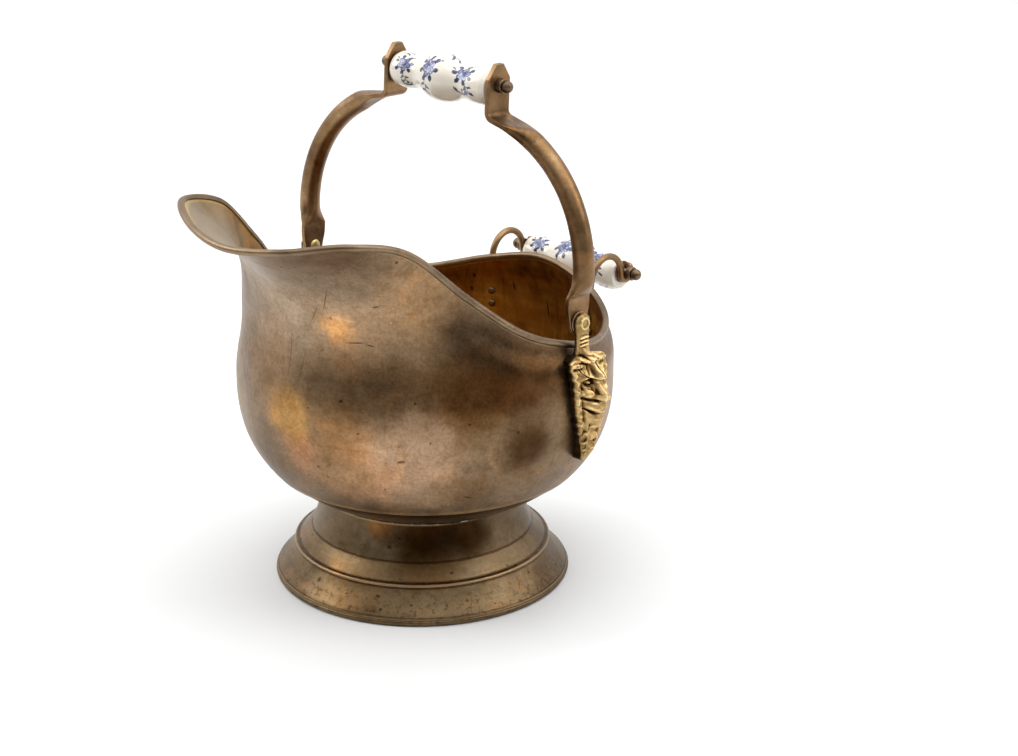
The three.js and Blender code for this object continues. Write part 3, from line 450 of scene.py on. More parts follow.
def foot_wire_shape():
    centre = FOOT_RADIUS - FOOT_BEAD
    profile = []
    for a in np.linspace(0, 2 * PI, 28, endpoint=False):
        r = FOOT_BEAD
        if 0.75 < a < 1.1:
            r -= 0.35
        profile.append((centre + r * math.cos(a), max(FOOT_BEAD + r * math.sin(a), 0.0)))
    return Shape().grid(lathe(profile, 240), wrap_rows=True)


def solder_shape():
    """A thin uneven run of solder in the corner between collar and pan."""
    ring = lathe([(SOLDER_RADIUS, 0)], 720)[0]
    ring[:, 2] = pan_height(ring, SHEET + GAP) - 0.5
    lumps = 0.75 + 0.5 * waves(ring, 22, 21, 4) + 0.22 * waves(ring, 4, 22, 2)
    lumps = np.clip(lumps, 0.35, 1.9)
    out = ring * [1, 1, 0] / SOLDER_RADIUS
    up = np.array([0, 0, 1.0])
    rings = []
    for a in np.linspace(0, 2 * PI, 10, endpoint=False):
        rings.append(ring + (np.cos(a) * lumps)[:, None] * out
                     + (np.sin(a) * lumps * 0.7)[:, None] * up)
    return Shape().grid(rings, wrap_rows=True)


# ----------------------------------------------------------------------- masks

# down from the pin, half width of the casting
MASK_SIDES = np.array([
    (-7.4, 0.5), (-7.0, 2.5), (-5.6, 4.9), (-3, 6.8), (0, 7.4), (4, 6.9), (8, 6.4), (14, 6.3),
    (19, 6.7), (24, 8.2), (25.6, 17.0), (26.8, 19.0), (31, 19.4), (35, 18.6), (40, 17.0),
    (45, 16.4), (51, 15.8), (58, 15.2), (66, 13.8), (72, 12.4), (78, 11.0), (84, 9.6),
    (90, 7.8), (96, 6.2), (101, 5.0), (105, 3.4), (107.3, 1.4),
])
# down from the pin, how far the middle of the face stands before the plate
MASK_MIDDLE = np.array([
    (-7.4, 0.4), (4, 1.2), (9, 2.6), (12, 4.4), (15.5, 5.2), (18.3, 5.0), (19.8, 7.6),
    (21.4, 10.6), (23.4, 11.6), (25.6, 10.2), (27.8, 9.6), (30.7, 12.4), (33.7, 17.0),
    (36, 19.0), (38.2, 18.9), (40.2, 14.6), (42.8, 14.8), (45.4, 17.2), (48.8, 20.9),
    (51.9, 22.9), (54.2, 22.3), (55.8, 17.6), (58.6, 16.4), (61.7, 17.9), (65, 17.0),
    (66.6, 13.2), (68.6, 14.2), (71, 15.0), (74.7, 13.4), (77.7, 12.9), (80.0, 8.4), (82.7, 7.0),
    (85.7, 8.8), (88.2, 8.4), (91, 4.8), (93.6, 4.4), (96.6, 7.2), (98.8, 6.6), (101, 3.2),
    (104.2, 2.2), (107.3, 0.2),
])
# mounds and hollows of the face: height, across and down from the pin, half width,
# half height, turn in radians, power
FACE_FORMS = [
    (-5.6, 6.4, 42.0, 4.4, 2.9, 0.12, 4), (3.4, 6.2, 42.2, 1.9, 1.5, 0, 3),     # eye
    (5.6, 0, 47.5, 2.5, 7.4, 0, 5), (5.4, 2.2, 52.9, 2.4, 2.3, 0.4, 5),         # nose
    (-4.6, 2.9, 55.7, 1.7, 1.0, 0, 3), (4.0, 9.2, 49.6, 3.4, 3.2, 0.12, 7),     # nostril, cheek
    (-3.4, 5.3, 48.0, 1.0, 4.6, -0.1, 3), (-3.2, 9.0, 54.6, 4.0, 1.1, -0.3, 3),
    (4.8, 5.0, 60.2, 4.3, 4.2, 0.15, 5), (-2.6, 0, 59.5, 0.7, 3.4, 0, 2),       # muzzle
    (3.0, 0, 70.8, 4.6, 2.6, 0, 4),                                             # chin
    (1.6, 13.6, 28.6, 6.0, 1.6, 0, 8), (-1.2, 13.0, 31.4, 5.6, 0.9, 0, 3),      # ledge
    (5.6, 6.6, 25.4, 2.1, 2.2, 0.3, 5), (-4.4, 3.9, 25.6, 0.9, 3.2, 0, 3),      # curl
]


def bump(u, v, at_u, at_v, ru, rv, turn=0.0, power=2.0):
    """A smooth mound, 1 at its middle; high powers give it a flat top."""
    du, dv = u - at_u, v - at_v
    c, s = math.cos(turn), math.sin(turn)
    a, b = (du * c + dv * s) / ru, (-du * s + dv * c) / rv
    return np.exp(-np.abs(a * a + b * b) ** (power / 2))


def ramp(value, low, high):
    return np.clip((value - low) / (high - low), 0, 1)


LOCK_PITCH, STRAND_PITCH = 7.4, 4.1


def mask_height(u, v):
    """How far the casting's front stands before its plate; u across, v down."""
    side = np.abs(u)
    half = np.interp(v, *MASK_SIDES.T)
    share = np.clip(side / half, 0, 1)
    # the face's mass, flat towards its thick outer edge
    edge_h = np.interp(v, [25, 27, 31, 37, 60, 74, 84, 96, 107],
                       [1.6, 2.2, 3.2, 5.6, 6.2, 5.6, 4.4, 3.0, 1.2])
    mass = np.interp(v, [25, 30, 37, 50, 64, 72, 82, 94, 107],
                     [3.0, 8.0, 10.5, 12.0, 11.5, 9.8, 6.4, 4.0, 1.6])
    h = edge_h + (mass - edge_h) * (1 - ramp(share, 0.25, 0.8) ** 1.5)
    # forehead: two slanting tufts that end in a brow with the eye in its shadow
    brow = 39.2 - 0.45 * np.maximum(side - 3, 0) - 0.5 * np.maximum(side - 9, 0)
    slope = ramp(v, 27, brow)
    tuft = 15.2 - 0.55 * side
    lifted = edge_h + (tuft - edge_h) * slope ** 1.2
    over = ramp(v, 26.5, 28) * ramp(brow - v, -0.7, 0.1) * ramp(13.2 - side, 0, 2.2)
    h = np.maximum(h * (1 - over), lifted * over)
    h -= 2.4 * bump(side, v, 6.3 + 0.16 * (v - 33), 32.5, 0.75, 6.0, -0.25, 3) * over
    h -= 1.6 * bump(side, v, 10.6, 33.0, 0.6, 4.4, -0.1, 3) * over
    for gain, *form in FACE_FORMS:
        h += gain * bump(side, v, *form)
    h -= 5.6 * bump(side, v, 4.0, 66.6 - 0.05 * side ** 2, 6.8, 1.1, 0, 3)
    # mane: a groove inside the edge and rippled locks on it
    near_edge = np.exp(-((share - 0.9) / 0.13) ** 2) * ramp(v, 30, 34) * ramp(84 - v, 0, 8)
    lock = np.cos((v - 0.75 * side) * 2 * PI / LOCK_PITCH)
    lock = lock + 0.4 * np.cos((v + 0.8 * side) * 2 * PI / 4.1 + 1.0)
    h += near_edge * (0.7 + 0.75 * lock)
    groove = np.exp(-((share - 0.7) / 0.06) ** 2) * ramp(v, 40, 44) * ramp(78 - v, 0, 6)
    h -= 2.6 * groove
    # beard: strands that step down in short locks
    beard = ramp(v, 72, 76)
    strand = np.cos(side * 2 * PI / STRAND_PITCH + 0.11 * v) + 0.5 * np.cos(side * 2 * PI / 2.2 - 0.23 * v)
    h += beard * 1.15 * strand * (1 - share ** 4)
    for start, size in ((73.5, 3.2), (82.0, 3.0), (90.5, 2.6), (98.0, 2.0)):
        fall = v - start - 0.16 * side ** 2 + 1.2 * np.cos(side * 2 * PI / STRAND_PITCH)
        h += beard * size * np.where((fall > 0) & (fall < 7.0), 1 - fall / 7.0, 0) * ramp(fall, 0, 0.8)
    # the centre line follows the profile seen against the light
    middle = np.interp(v, *MASK_MIDDLE.T)
    width = np.interp(v, [18, 24, 30, 37, 48, 54, 62, 72, 82, 107],
                      [3.2, 3.0, 3.2, 3.4, 2.4, 3.4, 4.6, 5.0, 4.0, 3.2])
    reach = np.exp(-(side / width) ** 4)
    face = h * (1 - reach) + (middle - 1.6 * bump(side, v, 0, 31, 0.8, 6.5, 0, 3)) * reach
    # ear: a thick tongue with a boss for the pin and three bands under it
    tongue = 0.9 * bump(side, v, 0, 0, 5.6, 5.6, 0, 8)
    for at in (10.4, 13.4, 16.4):
        tongue += 2.0 * bump(side, v, 0, at + 0.03 * side ** 2, 5.2, 1.0, 0, 6)
    tongue += np.interp(v, [17.5, 19.8, 22.0, 25], [0, 3, 8, 9]) * np.exp(-(side / 3.0) ** 4)
    blend = ramp(v, 23.6, 25.4)
    h = tongue * (1 - blend) + face * blend
    # rounded outer edge
    edge = np.clip((half - side) / np.where(v < 24, 2.0, 1.0), 0, 1)
    lift = np.sqrt(1 - (1 - edge) ** 2)
    return np.where(v < 24, h * lift - 1.4 * (1 - lift), h * lift)


def smoothed(grid, rows, columns):
    """The grid blurred over so many rows and columns to each side."""
    for axis, reach in ((0, rows), (1, columns)):
        weights = np.exp(-np.linspace(-2, 2, 2 * reach + 1) ** 2)
        weights /= weights.sum()
        wide = np.pad(grid, [(reach, reach) if k == axis else (0, 0) for k in (0, 1)], mode="edge")
        count = grid.shape[axis]
        grid = sum(w * np.take(wide, np.arange(k, k + count), axis) for k, w in enumerate(weights))
    return grid


def wall_x(y, z):
    """Outside of the wall at a place on the +X side."""
    t = np.linspace(0.16, 0.40, 120)
    level = np.linspace(0.1, 2.99, 240)
    grid_t, grid_l = np.meshgrid(t, level, indexing="ij")
    p = wall(grid_t, grid_l)
    angle = np.arctan2(p[..., 0], -(p[..., 1] - BOWL_SET_BACK))[:, 0]
    x = np.full(y.shape, BELLY_RADIUS)
    for _ in range(4):
        column = np.interp(np.arctan2(x, -(y - BOWL_SET_BACK)), angle, np.arange(len(t)))
        k = np.clip(column.round().astype(int), 0, len(t) - 1)
        radius = np.empty(y.shape)
        for index in np.unique(k):
            chosen = k == index
            r = np.hypot(p[index, :, 0], p[index, :, 1] - BOWL_SET_BACK)
            radius[chosen] = np.interp(z[chosen], p[index, :, 2], r)
        x = np.sqrt(np.maximum(radius ** 2 - (y - BOWL_SET_BACK) ** 2, 0))
    return x


def mask_shape():
    rows, cells = 340, 130
    v = np.linspace(MASK_TOP, MASK_FOOT, rows)
    share = np.sin(np.linspace(-PI / 2, PI / 2, cells + 1)) * 0.35 + np.linspace(-1, 1, cells + 1) * 0.65
    half = np.interp(v, *MASK_SIDES.T)
    scallop = ramp(v, 31, 37) * (0.5 * np.sin(v * 2 * PI / LOCK_PITCH) + 0.25 * np.sin(v * 2 * PI / 9.1))
    half_out = half + scallop
    vv, ss = np.meshgrid(v, share, indexing="ij")
    u = ss * half[:, None]
    h = mask_height(u, vv)
    rough = 0.14 * waves(np.stack([u, vv, 0 * u], -1), 2.6, 31, 2)
    base = np.interp(v, [23.6, 25.4], [EAR_FRONT, PLATE_FRONT])[:, None]
    y, z = PIN_Y + ss * half_out[:, None], PIN_Z - vv
    # the tip of the beard curls towards the lip
    y = y - 2.4 * ramp(vv, 98, 107) ** 2
    behind = wall_x(y, z) + 0.35
    x = np.maximum(base + h + rough, behind + 1.2)
    front = np.stack([np.minimum(x, MASK_DEEPEST), y, z], -1)
    ear = ramp(23.6 - vv, -1.8, 0.0)
    # hollow behind its rim: only the middle of the casting lies on the wall
    stand = np.maximum(behind, np.minimum(148.4 * ramp(np.abs(ss), 0.55, 0.8), x - 1.0))
    rear_x = ear * EAR_BACK + (1 - ear) * np.minimum(stand, x - 0.8)
    back = np.stack([rear_x, y, z], -1)
    rings = np.concatenate([front, back[:, ::-1]], axis=1)
    shape = Shape()
    shape.grid(rings, 0)
    shape.grid(np.stack([front[0], back[0]]), 0, wrap_columns=False)
    shape.grid(np.stack([back[-1], front[-1]]), 0, wrap_columns=False)
    # how far each point stands proud of the form round it, for the painted highlights and painted shade of
    # the casting; the sides and ends count as sunk
    proud = front[..., 0] - smoothed(front[..., 0], 9, 8)
    sides = np.full(proud.shape, -1.5)
    whole = np.concatenate([proud, sides], axis=1)
    ends = [np.zeros(2 * len(share)), np.full(2 * len(share), -1.0)]
    shape.relief = np.concatenate([whole.ravel(), *ends])
    return shape


# ------------------------------------------------------------------------ bail

def section_ring(at, along, across, wide, thick, sides, power=1.0):
    out = np.cross(along, across)
    out /= np.linalg.norm(out)
    width = np.cross(out, along)
    width /= np.linalg.norm(width)
    a = 2 * PI * (np.arange(sides) + 0.5) / sides
    c, s = np.cos(a), np.sin(a)
    c = np.sign(c) * np.abs(c) ** power
    s = np.sign(s) * np.abs(s) ** power
    return at + (wide * c)[:, None] * width + (thick * s)[:, None] * out


def lean_back(rings):
    """From the bail's own upright frame to its place in the object."""
    rings = np.asarray(rings, float)
    c, s = math.cos(BAIL_LEAN), math.sin(BAIL_LEAN)
    x, y, z = rings[..., 0], rings[..., 1], rings[..., 2]
    return np.stack([x, PIN_Y + y * c + z * s, PIN_Z - y * s + z * c], -1)


def mixed(a, b, s):
    return a + (b - a) * s


def capped(rings, share):
    """The rings with both ends drawn in, first by the share and then to a point."""
    for end in (0, -1):
        near = [mixed(rings[end], rings[end].mean(0), s) for s in (share, 0.99)]
        rings = np.concatenate([near[::-1], rings] if end == 0 else [rings, near])
    return rings


def arm_shape():
    depth = np.array([0, 1.0, 0])
    upward = np.array([0, 0, 1.0])
    radius, turn_end = SHOULDER_RADIUS, math.radians(76)
    centre_x, rise = SHOULDER_X - radius, SHOULDER_RISE
    stations = []

    def add(at, along, wide, thick, power):
        stations.append((np.array(at, float), np.array(along, float), wide, thick, power))

    for share in (-0.995, -0.96, -0.9, -0.8, -0.68, -0.5, -0.3, -0.1):
        half = EYE_RADIUS * math.sqrt(1 - share ** 2)
        add((STRAP_MIDDLE, 0, share * EYE_RADIUS), upward, half, STRAP_THICK, 0.16)
    for z, wide in ((1.5, 9.5), (4, 10.2), (7, 11.0), (10, 11.5), (14, STRAP_WIDE), (18.2, STRAP_WIDE)):
        add((STRAP_MIDDLE, 0, z), upward, wide, STRAP_THICK, 0.16)
    for share in (0.03, 0.1, 0.2, 0.32, 0.46, 0.6, 0.75, 0.88, 1.0):
        swell = 1 - (1 - share) ** 1.7
        add((STRAP_MIDDLE + swell * 4.5, 0, 19.0 + share * 14.5), upward,
            mixed(STRAP_WIDE, TUBE_RADIUS, share ** 0.8), mixed(STRAP_THICK, TUBE_RADIUS, swell),
            mixed(0.3, 1.0, min(1, share * 1.8)))

    def shoulder(turn):
        at = (centre_x + radius * math.cos(turn), 0, rise + radius * math.sin(turn))
        return at, (-math.sin(turn), 0, math.cos(turn))

    round_end = turn_end - math.radians(15)
    for i in range(1, 61):
        at, along = shoulder(i / 60 * round_end)
        add(at, along, TUBE_RADIUS, TUBE_RADIUS, 1.0)
    for i in range(1, 13):
        share = i / 12
        at, along = shoulder(mixed(round_end, turn_end, share))
        flat = share * share * (3 - 2 * share)
        add(at, along, mixed(TUBE_RADIUS, STRAP_WIDE, flat), mixed(TUBE_RADIUS, STRAP_THICK, flat),
            mixed(1.0, 0.2, flat))
    heading = np.array([-math.sin(turn_end), 0, math.cos(turn_end)])
    end = np.array(shoulder(turn_end)[0])
    corner = end + heading * (end[0] - LUG_X) / math.sin(turn_end)
    centre = np.array([LUG_X + LUG_BEND, 0, corner[2] + LUG_BEND * math.tan(turn_end / 2)])
    for i in range(9):
        left = turn_end * (1 - i / 8)
        at = centre - LUG_BEND * np.array([math.cos(left), 0, math.sin(left)])
        add(at, (-math.sin(left), 0, math.cos(left)), STRAP_WIDE, STRAP_THICK, 0.14)
    for up, wide in ((4.6, STRAP_WIDE), (5.2, 11.5), (15.4, 4.3), (16.0, 3.6)):
        add((LUG_X, 0, SPINDLE_UP + up), upward, wide, STRAP_THICK, 0.14)
    rings = np.array([section_ring(at, along, depth, wide, thick, 48, power)
                      for at, along, wide, thick, power in stations])
    rings[0] = mixed(rings[0], rings[0].mean(0), 0.3)
    rings += 0.10 * waves(rings, 26, 41, 2)[..., None] * np.array([0.3, 1.0, 0.1])
    return Shape().grid(lean_back(capped(rings, 0.35)))


def disc_profile(inner, outer, low, high, bevel=0.25):
    """A flat ring's outline with broken edges, closed on itself."""
    b = min(bevel, (high - low) / 3)
    return [(inner, low), (outer - b, low), (outer, low + b), (outer, high - b), (outer - b, high),
            (inner, high), (inner, low)]


def pin_shape():
    """The bail's pin: a shank with a riveted head inside and a cupped one outside."""
    inner, outer = STRAP_MIDDLE - STRAP_THICK - GAP, EAR_FRONT + GAP
    profile = [(0.01, inner - 1.5), (2.0, inner - 1.45), (3.6, inner - 1.2), (4.7, inner - 0.6),
               (5.0, inner), (3.0, inner), (3.0, outer), (5.0, outer), (5.0, outer + 0.9),
               (4.6, outer + 1.5), (3.9, outer + 1.7), (3.2, outer + 1.4), (2.9, outer + 0.6),
               (2.6, outer + 0.25), (0.01, outer + 0.2)]
    return Shape().grid(along_x(lathe(profile, 48), PIN_Y, PIN_Z))


def pin_washer_shape():
    low = STRAP_MIDDLE + STRAP_THICK + GAP
    profile = disc_profile(BORE_RADIUS, PIN_WASHER_RADIUS, low, low + WASHER_THICK)
    return Shape().grid(lean_back(along_x(lathe(profile, 64), 0, 0)))


# ----------------------------------------------- grips, washers, nuts, spindles

def grip_profile():
    half = GRIP_HALF
    side = [(18.4, 0), (17.0, 0.2 * half), (12.8, 0.46 * half), (14.0, 0.72 * half),
            (13.6, half - 5), (12.6, half - 2.2)]
    knots = [(r, -x) for r, x in side[:0:-1]] + side
    run = spline(knots, 120)
    end = [(12.1, half - 1.4), (11.9, half - 0.6), (11.5, half - 0.1), (10.9, half),
           (7.2, half), (6.4, half - 0.4), (6.2, half - 1.4)]
    start = [(r, -x) for r, x in end[::-1]]
    return np.vstack([start, run, end, [(6.2, 0)], start[:1]])


def grip_shape(middle):
    return Shape().grid(along_x(lathe(grip_profile(), 128), middle.y / MM, middle.z / MM))


def washer_shape(y, z, tilt=False):
    low = GRIP_HALF + GAP
    profile = disc_profile(BORE_RADIUS, WASHER_RADIUS, low, low + WASHER_THICK, 0.35)
    rings = along_x(lathe(profile, 64), 0, 0)
    ruffle = 0.12 * waves(rings, 9, 51, 2)
    rings[..., 1:] *= (1 + 0.012 * ruffle)[..., None]
    return Shape().grid(seated(rings, y, z, tilt))


def seated(rings, y, z, tilt):
    """Rings about the X axis moved to the bail's spindle (tilt) or to (y, z)."""
    return lean_back(rings + [0, 0, SPINDLE_UP]) if tilt else rings + [0, y, z]


def nut_shape(inside, y, z, tilt=False):
    """A cap nut: a short collar and a ball worn smooth."""
    profile = [(BORE_RADIUS, 0), (5.2, 0), (5.6, 0.4), (5.6, 4.0), (5.45, 4.5), (5.0, 4.75)]
    for a in np.linspace(-0.62, PI / 2 - 0.02, 22):
        profile.append((4.6 * math.cos(a), 7.3 + 4.5 * math.sin(a) * (0.98 if a > 0 else 1)))
    profile.append((0.01, 11.72))
    bore = [(0.01, 6.0), (BORE_RADIUS, 6.0)]
    run = rounded(profile[:6], 0.3, 3)
    outline = np.vstack([bore, run, profile[6:]])
    outline[:, 1] += inside
    return Shape().grid(seated(along_x(lathe(outline, 56), 0, 0), y, z, tilt))


def spindle_shape(half, y, z, tilt=False):
    blunt = SPINDLE_RADIUS - 0.5
    profile = [(0.01, -half), (blunt, -half), (SPINDLE_RADIUS, -half + 0.5),
               (SPINDLE_RADIUS, half - 0.5), (blunt, half), (0.01, half)]
    return Shape().grid(seated(along_x(lathe(profile, 32), 0, 0), y, z, tilt))


# ------------------------------------------------------------------ rear hooks

def column_where(axis, wanted, low, high):
    rises = rim(low)[axis] < rim(high)[axis]
    for _ in range(40):
        middle = (low + high) / 2
        if (rim(middle)[axis] < wanted) == rises:
            low = middle
        else:
            high = middle
    return low


HOOK_X = 53.0
HOOK_STAND_OFF = RIM_BEAD + HOOK_RADIUS + 2 * GAP
HOOK_T = column_where(0, HOOK_X / (1 + HOOK_STAND_OFF / BELLY_RADIUS), 0.3, 0.5)
HOOK_RIM = rim(HOOK_T)[:3]


def at_height(t, height):
    level = np.linspace(0.02, 2.995, 1200)
    z = wall(np.full(level.shape, t), level)[:, 2]
    return float(np.interp(height, z, level))


def on_wall(t, height):
    """Place and outward direction of the wall's outside at a height."""
    tt, level = np.array([t]), np.array([at_height(t, height)])
    return wall(tt, level)[0], wall_normal(tt, level)[0]


def hook_shape():
    direction = HOOK_RIM * [1, 1, 0] - [0, BOWL_SET_BACK, 0]
    direction /= np.linalg.norm(direction)
    tangent = np.cross([0, 0, 1.0], direction)

    def off(height, distance):
        base, out = on_wall(HOOK_T, height)
        return base + out * distance

    low, strap = HOOK_RIM[2] - 47, 24
    stations = []
    for share, wide, thick in ((0, 3.0, 0.6), (0.02, 4.2, 1.0), (0.08, 5.2, 1.2), (0.2, 5.5, 1.2),
                               (0.45, 5.5, 1.2), (0.7, 5.4, 1.25), (0.88, 5.0, 1.5), (1.0, 4.3, 1.9)):
        height = low + share * strap
        at = off(height, GAP + thick)
        rise = off(height + 1, 1.5) - off(height - 1, 1.5)
        stations.append((at, rise, tangent, wide, thick, 0.3))
    leg_y = HOOK_RIM[1] + HOOK_STAND_OFF * direction[1]
    arch_end = REAR_Y - HOOK_EYE
    arch = (arch_end - leg_y) / 2
    across = np.array([1.0, 0, 0])
    for under_rim, distance, wide, thick, power in ((0.55 * 23, 3.0, 3.0, 2.5, 0.8),
                                                    (0.35 * 23, 3.4, 2.75, 2.7, 1.0)):
        stations.append((off(HOOK_RIM[2] - under_rim, distance), (0, 0.1, 1), across, wide, thick, power))
    centre = np.array([HOOK_X, (leg_y + arch_end) / 2, REAR_Z])
    for i in range(29):
        a = PI * (1 - i / 28)
        at = centre + arch * np.array([0, math.cos(a), math.sin(a)])
        stations.append((at, (0, math.sin(a), -math.cos(a)), across, HOOK_RADIUS, HOOK_RADIUS, 1.0))
    for i in range(1, 33):
        a = PI + math.radians(250) * i / 32
        at = np.array([HOOK_X, REAR_Y + HOOK_EYE * math.cos(a), REAR_Z + HOOK_EYE * math.sin(a)])
        thin = HOOK_RADIUS * (1 - 0.22 * max(0, (i - 29) / 3) ** 2)
        stations.append((at, (0, -math.sin(a), math.cos(a)), across, thin, thin, 1.0))
    rings = np.array([section_ring(np.array(at, float), np.array(al, float), np.array(ac, float),
                                   w, th, 20, pw) for at, al, ac, w, th, pw in stations])
    rings += 0.07 * waves(rings, 14, 61, 2)[..., None] * np.array([0.6, 1.0, 0.0])
    return Shape().grid(capped(rings, 0.4))


def rivet_shape(t, height, radius, length, outer_head):
    """A rivet through the wall, its inner head against the inside of the sheet."""
    head, rise = 1.8 * radius, 0.9 * radius
    seat = SHEET + 3 * GAP
    arc = np.linspace(0, PI / 2, 8)
    inner = [(max(head * math.sin(a), 0.01), -rise * math.cos(a)) for a in arc]
    profile = inner + [(radius, 0), (radius, length)]
    if outer_head:
        profile.append((head, length))
        profile += [(max(head * math.cos(a), 0.01), length + rise * math.sin(a)) for a in arc[1:]]
    else:
        profile.append((0.01, length))
    rings = lathe(profile, 28)
    base, out = on_wall(t, height)
    turn = Vector((0, 0, 1)).rotation_difference(Vector(out)).to_matrix()
    rings = rings @ np.array(turn).T + base - out * seat
    return Shape().grid(rings)


# ------------------------------------------------------------------- materials

class Nodes:
    """Short calls for building one material's node tree."""

    def __init__(self, tree):
        self.tree = tree

    def put(self, kind, inputs=(), **settings):
        node = self.tree.nodes.new(kind)
        for key, value in settings.items():
            setattr(node, key, value)
        for key, value in dict(inputs).items():
            socket = node.inputs[key]
            if isinstance(value, bpy.types.NodeSocket):
                self.tree.links.new(value, socket)
            else:
                socket.default_value = value
        return node

    def math(self, operation, a, b=0.0, c=0.0):
        return self.put("ShaderNodeMath", {0: a, 1: b, 2: c}, operation=operation).outputs[0]

    def plus(self, a, b):
        return self.math("ADD", a, b)

    def minus(self, a, b):
        return self.math("SUBTRACT", a, b)

    def times(self, a, b):
        return self.math("MULTIPLY", a, b)

    def least(self, a, b):
        return self.math("MINIMUM", a, b)

    def here(self):
        """The point on the piece, in metres."""
        return self.put("ShaderNodeTexCoord").outputs["Object"]

    def split(self, vector):
        return self.put("ShaderNodeSeparateXYZ", {0: vector}).outputs

    def vector(self, operation, a, b=(0, 0, 0), scale=None):
        inputs = {0: a, 1: b}
        if scale is not None:
            inputs["Scale"] = scale
        node = self.put("ShaderNodeVectorMath", inputs, operation=operation)
        return node.outputs["Value" if operation in ("LENGTH", "DOT_PRODUCT", "DISTANCE") else "Vector"]

    def noise(self, vector, scale, detail=3.0, rough=0.55, distortion=0.0):
        return self.put("ShaderNodeTexNoise", {"Vector": vector, "Scale": scale, "Detail": detail,
                                               "Roughness": rough, "Distortion": distortion}).outputs["Fac"]

    def between(self, value, low, high, to_low=0.0, to_high=1.0):
        """A soft step of the value from low to high."""
        return self.put("ShaderNodeMapRange", {"Value": value, "From Min": low, "From Max": high,
                                               "To Min": to_low, "To Max": to_high},
                        interpolation_type="SMOOTHSTEP").outputs[0]

    def mix(self, share, a, b):
        node = self.put("ShaderNodeMix", data_type="RGBA", clamp_factor=True)
        for index, value in ((0, share), (6, a), (7, b)):
            if isinstance(value, bpy.types.NodeSocket):
                self.tree.links.new(value, node.inputs[index])
            else:
                node.inputs[index].default_value = value if index == 0 else (*value, 1.0)
        return node.outputs[2]

    def placed(self, vector, across, up, turn, wide, high):
        """The point seen from a place with its own turn and size."""
        return self.put("ShaderNodeMapping", {"Vector": vector, "Location": (across, up, 0),
                                              "Rotation": (0, 0, turn), "Scale": (wide, high, 1)},
                        vector_type="TEXTURE").outputs[0]

    def patch(self, at, centre, reach, soft=0.5):
        """1 near a place on the surface and 0 beyond its reach (mm)."""
        away = self.vector("DISTANCE", at, tuple(c * MM for c in centre))
        return self.between(away, reach * MM, reach * MM * (1 - soft))

    def stretched(self, vector, x, y, z):
        return self.vector("MULTIPLY", vector, (x, y, z))

    def bump(self, height, strength, distance, under=None):
        inputs = {"Height": height, "Strength": strength, "Distance": distance}
        if under is not None:
            inputs["Normal"] = under
        return self.put("ShaderNodeBump", inputs).outputs[0]


def new_material(name):
    material = bpy.data.materials.new(name)
    material.use_nodes = True
    tree = material.node_tree
    tree.nodes.clear()
    nodes = Nodes(tree)
    surface = nodes.put("ShaderNodeBsdfPrincipled")
    output = nodes.put("ShaderNodeOutputMaterial")
    tree.links.new(surface.outputs[0], output.inputs["Surface"])
    return material, nodes, surface


def finish_surface(nodes, surface, **values):
    for key, value in values.items():
        socket = surface.inputs[key.replace("_", " ")]
        if isinstance(value, bpy.types.NodeSocket):
            nodes.tree.links.new(value, socket)
        elif isinstance(value, tuple):
            socket.default_value = (*value, 1.0)
        else:
            socket.default_value = value


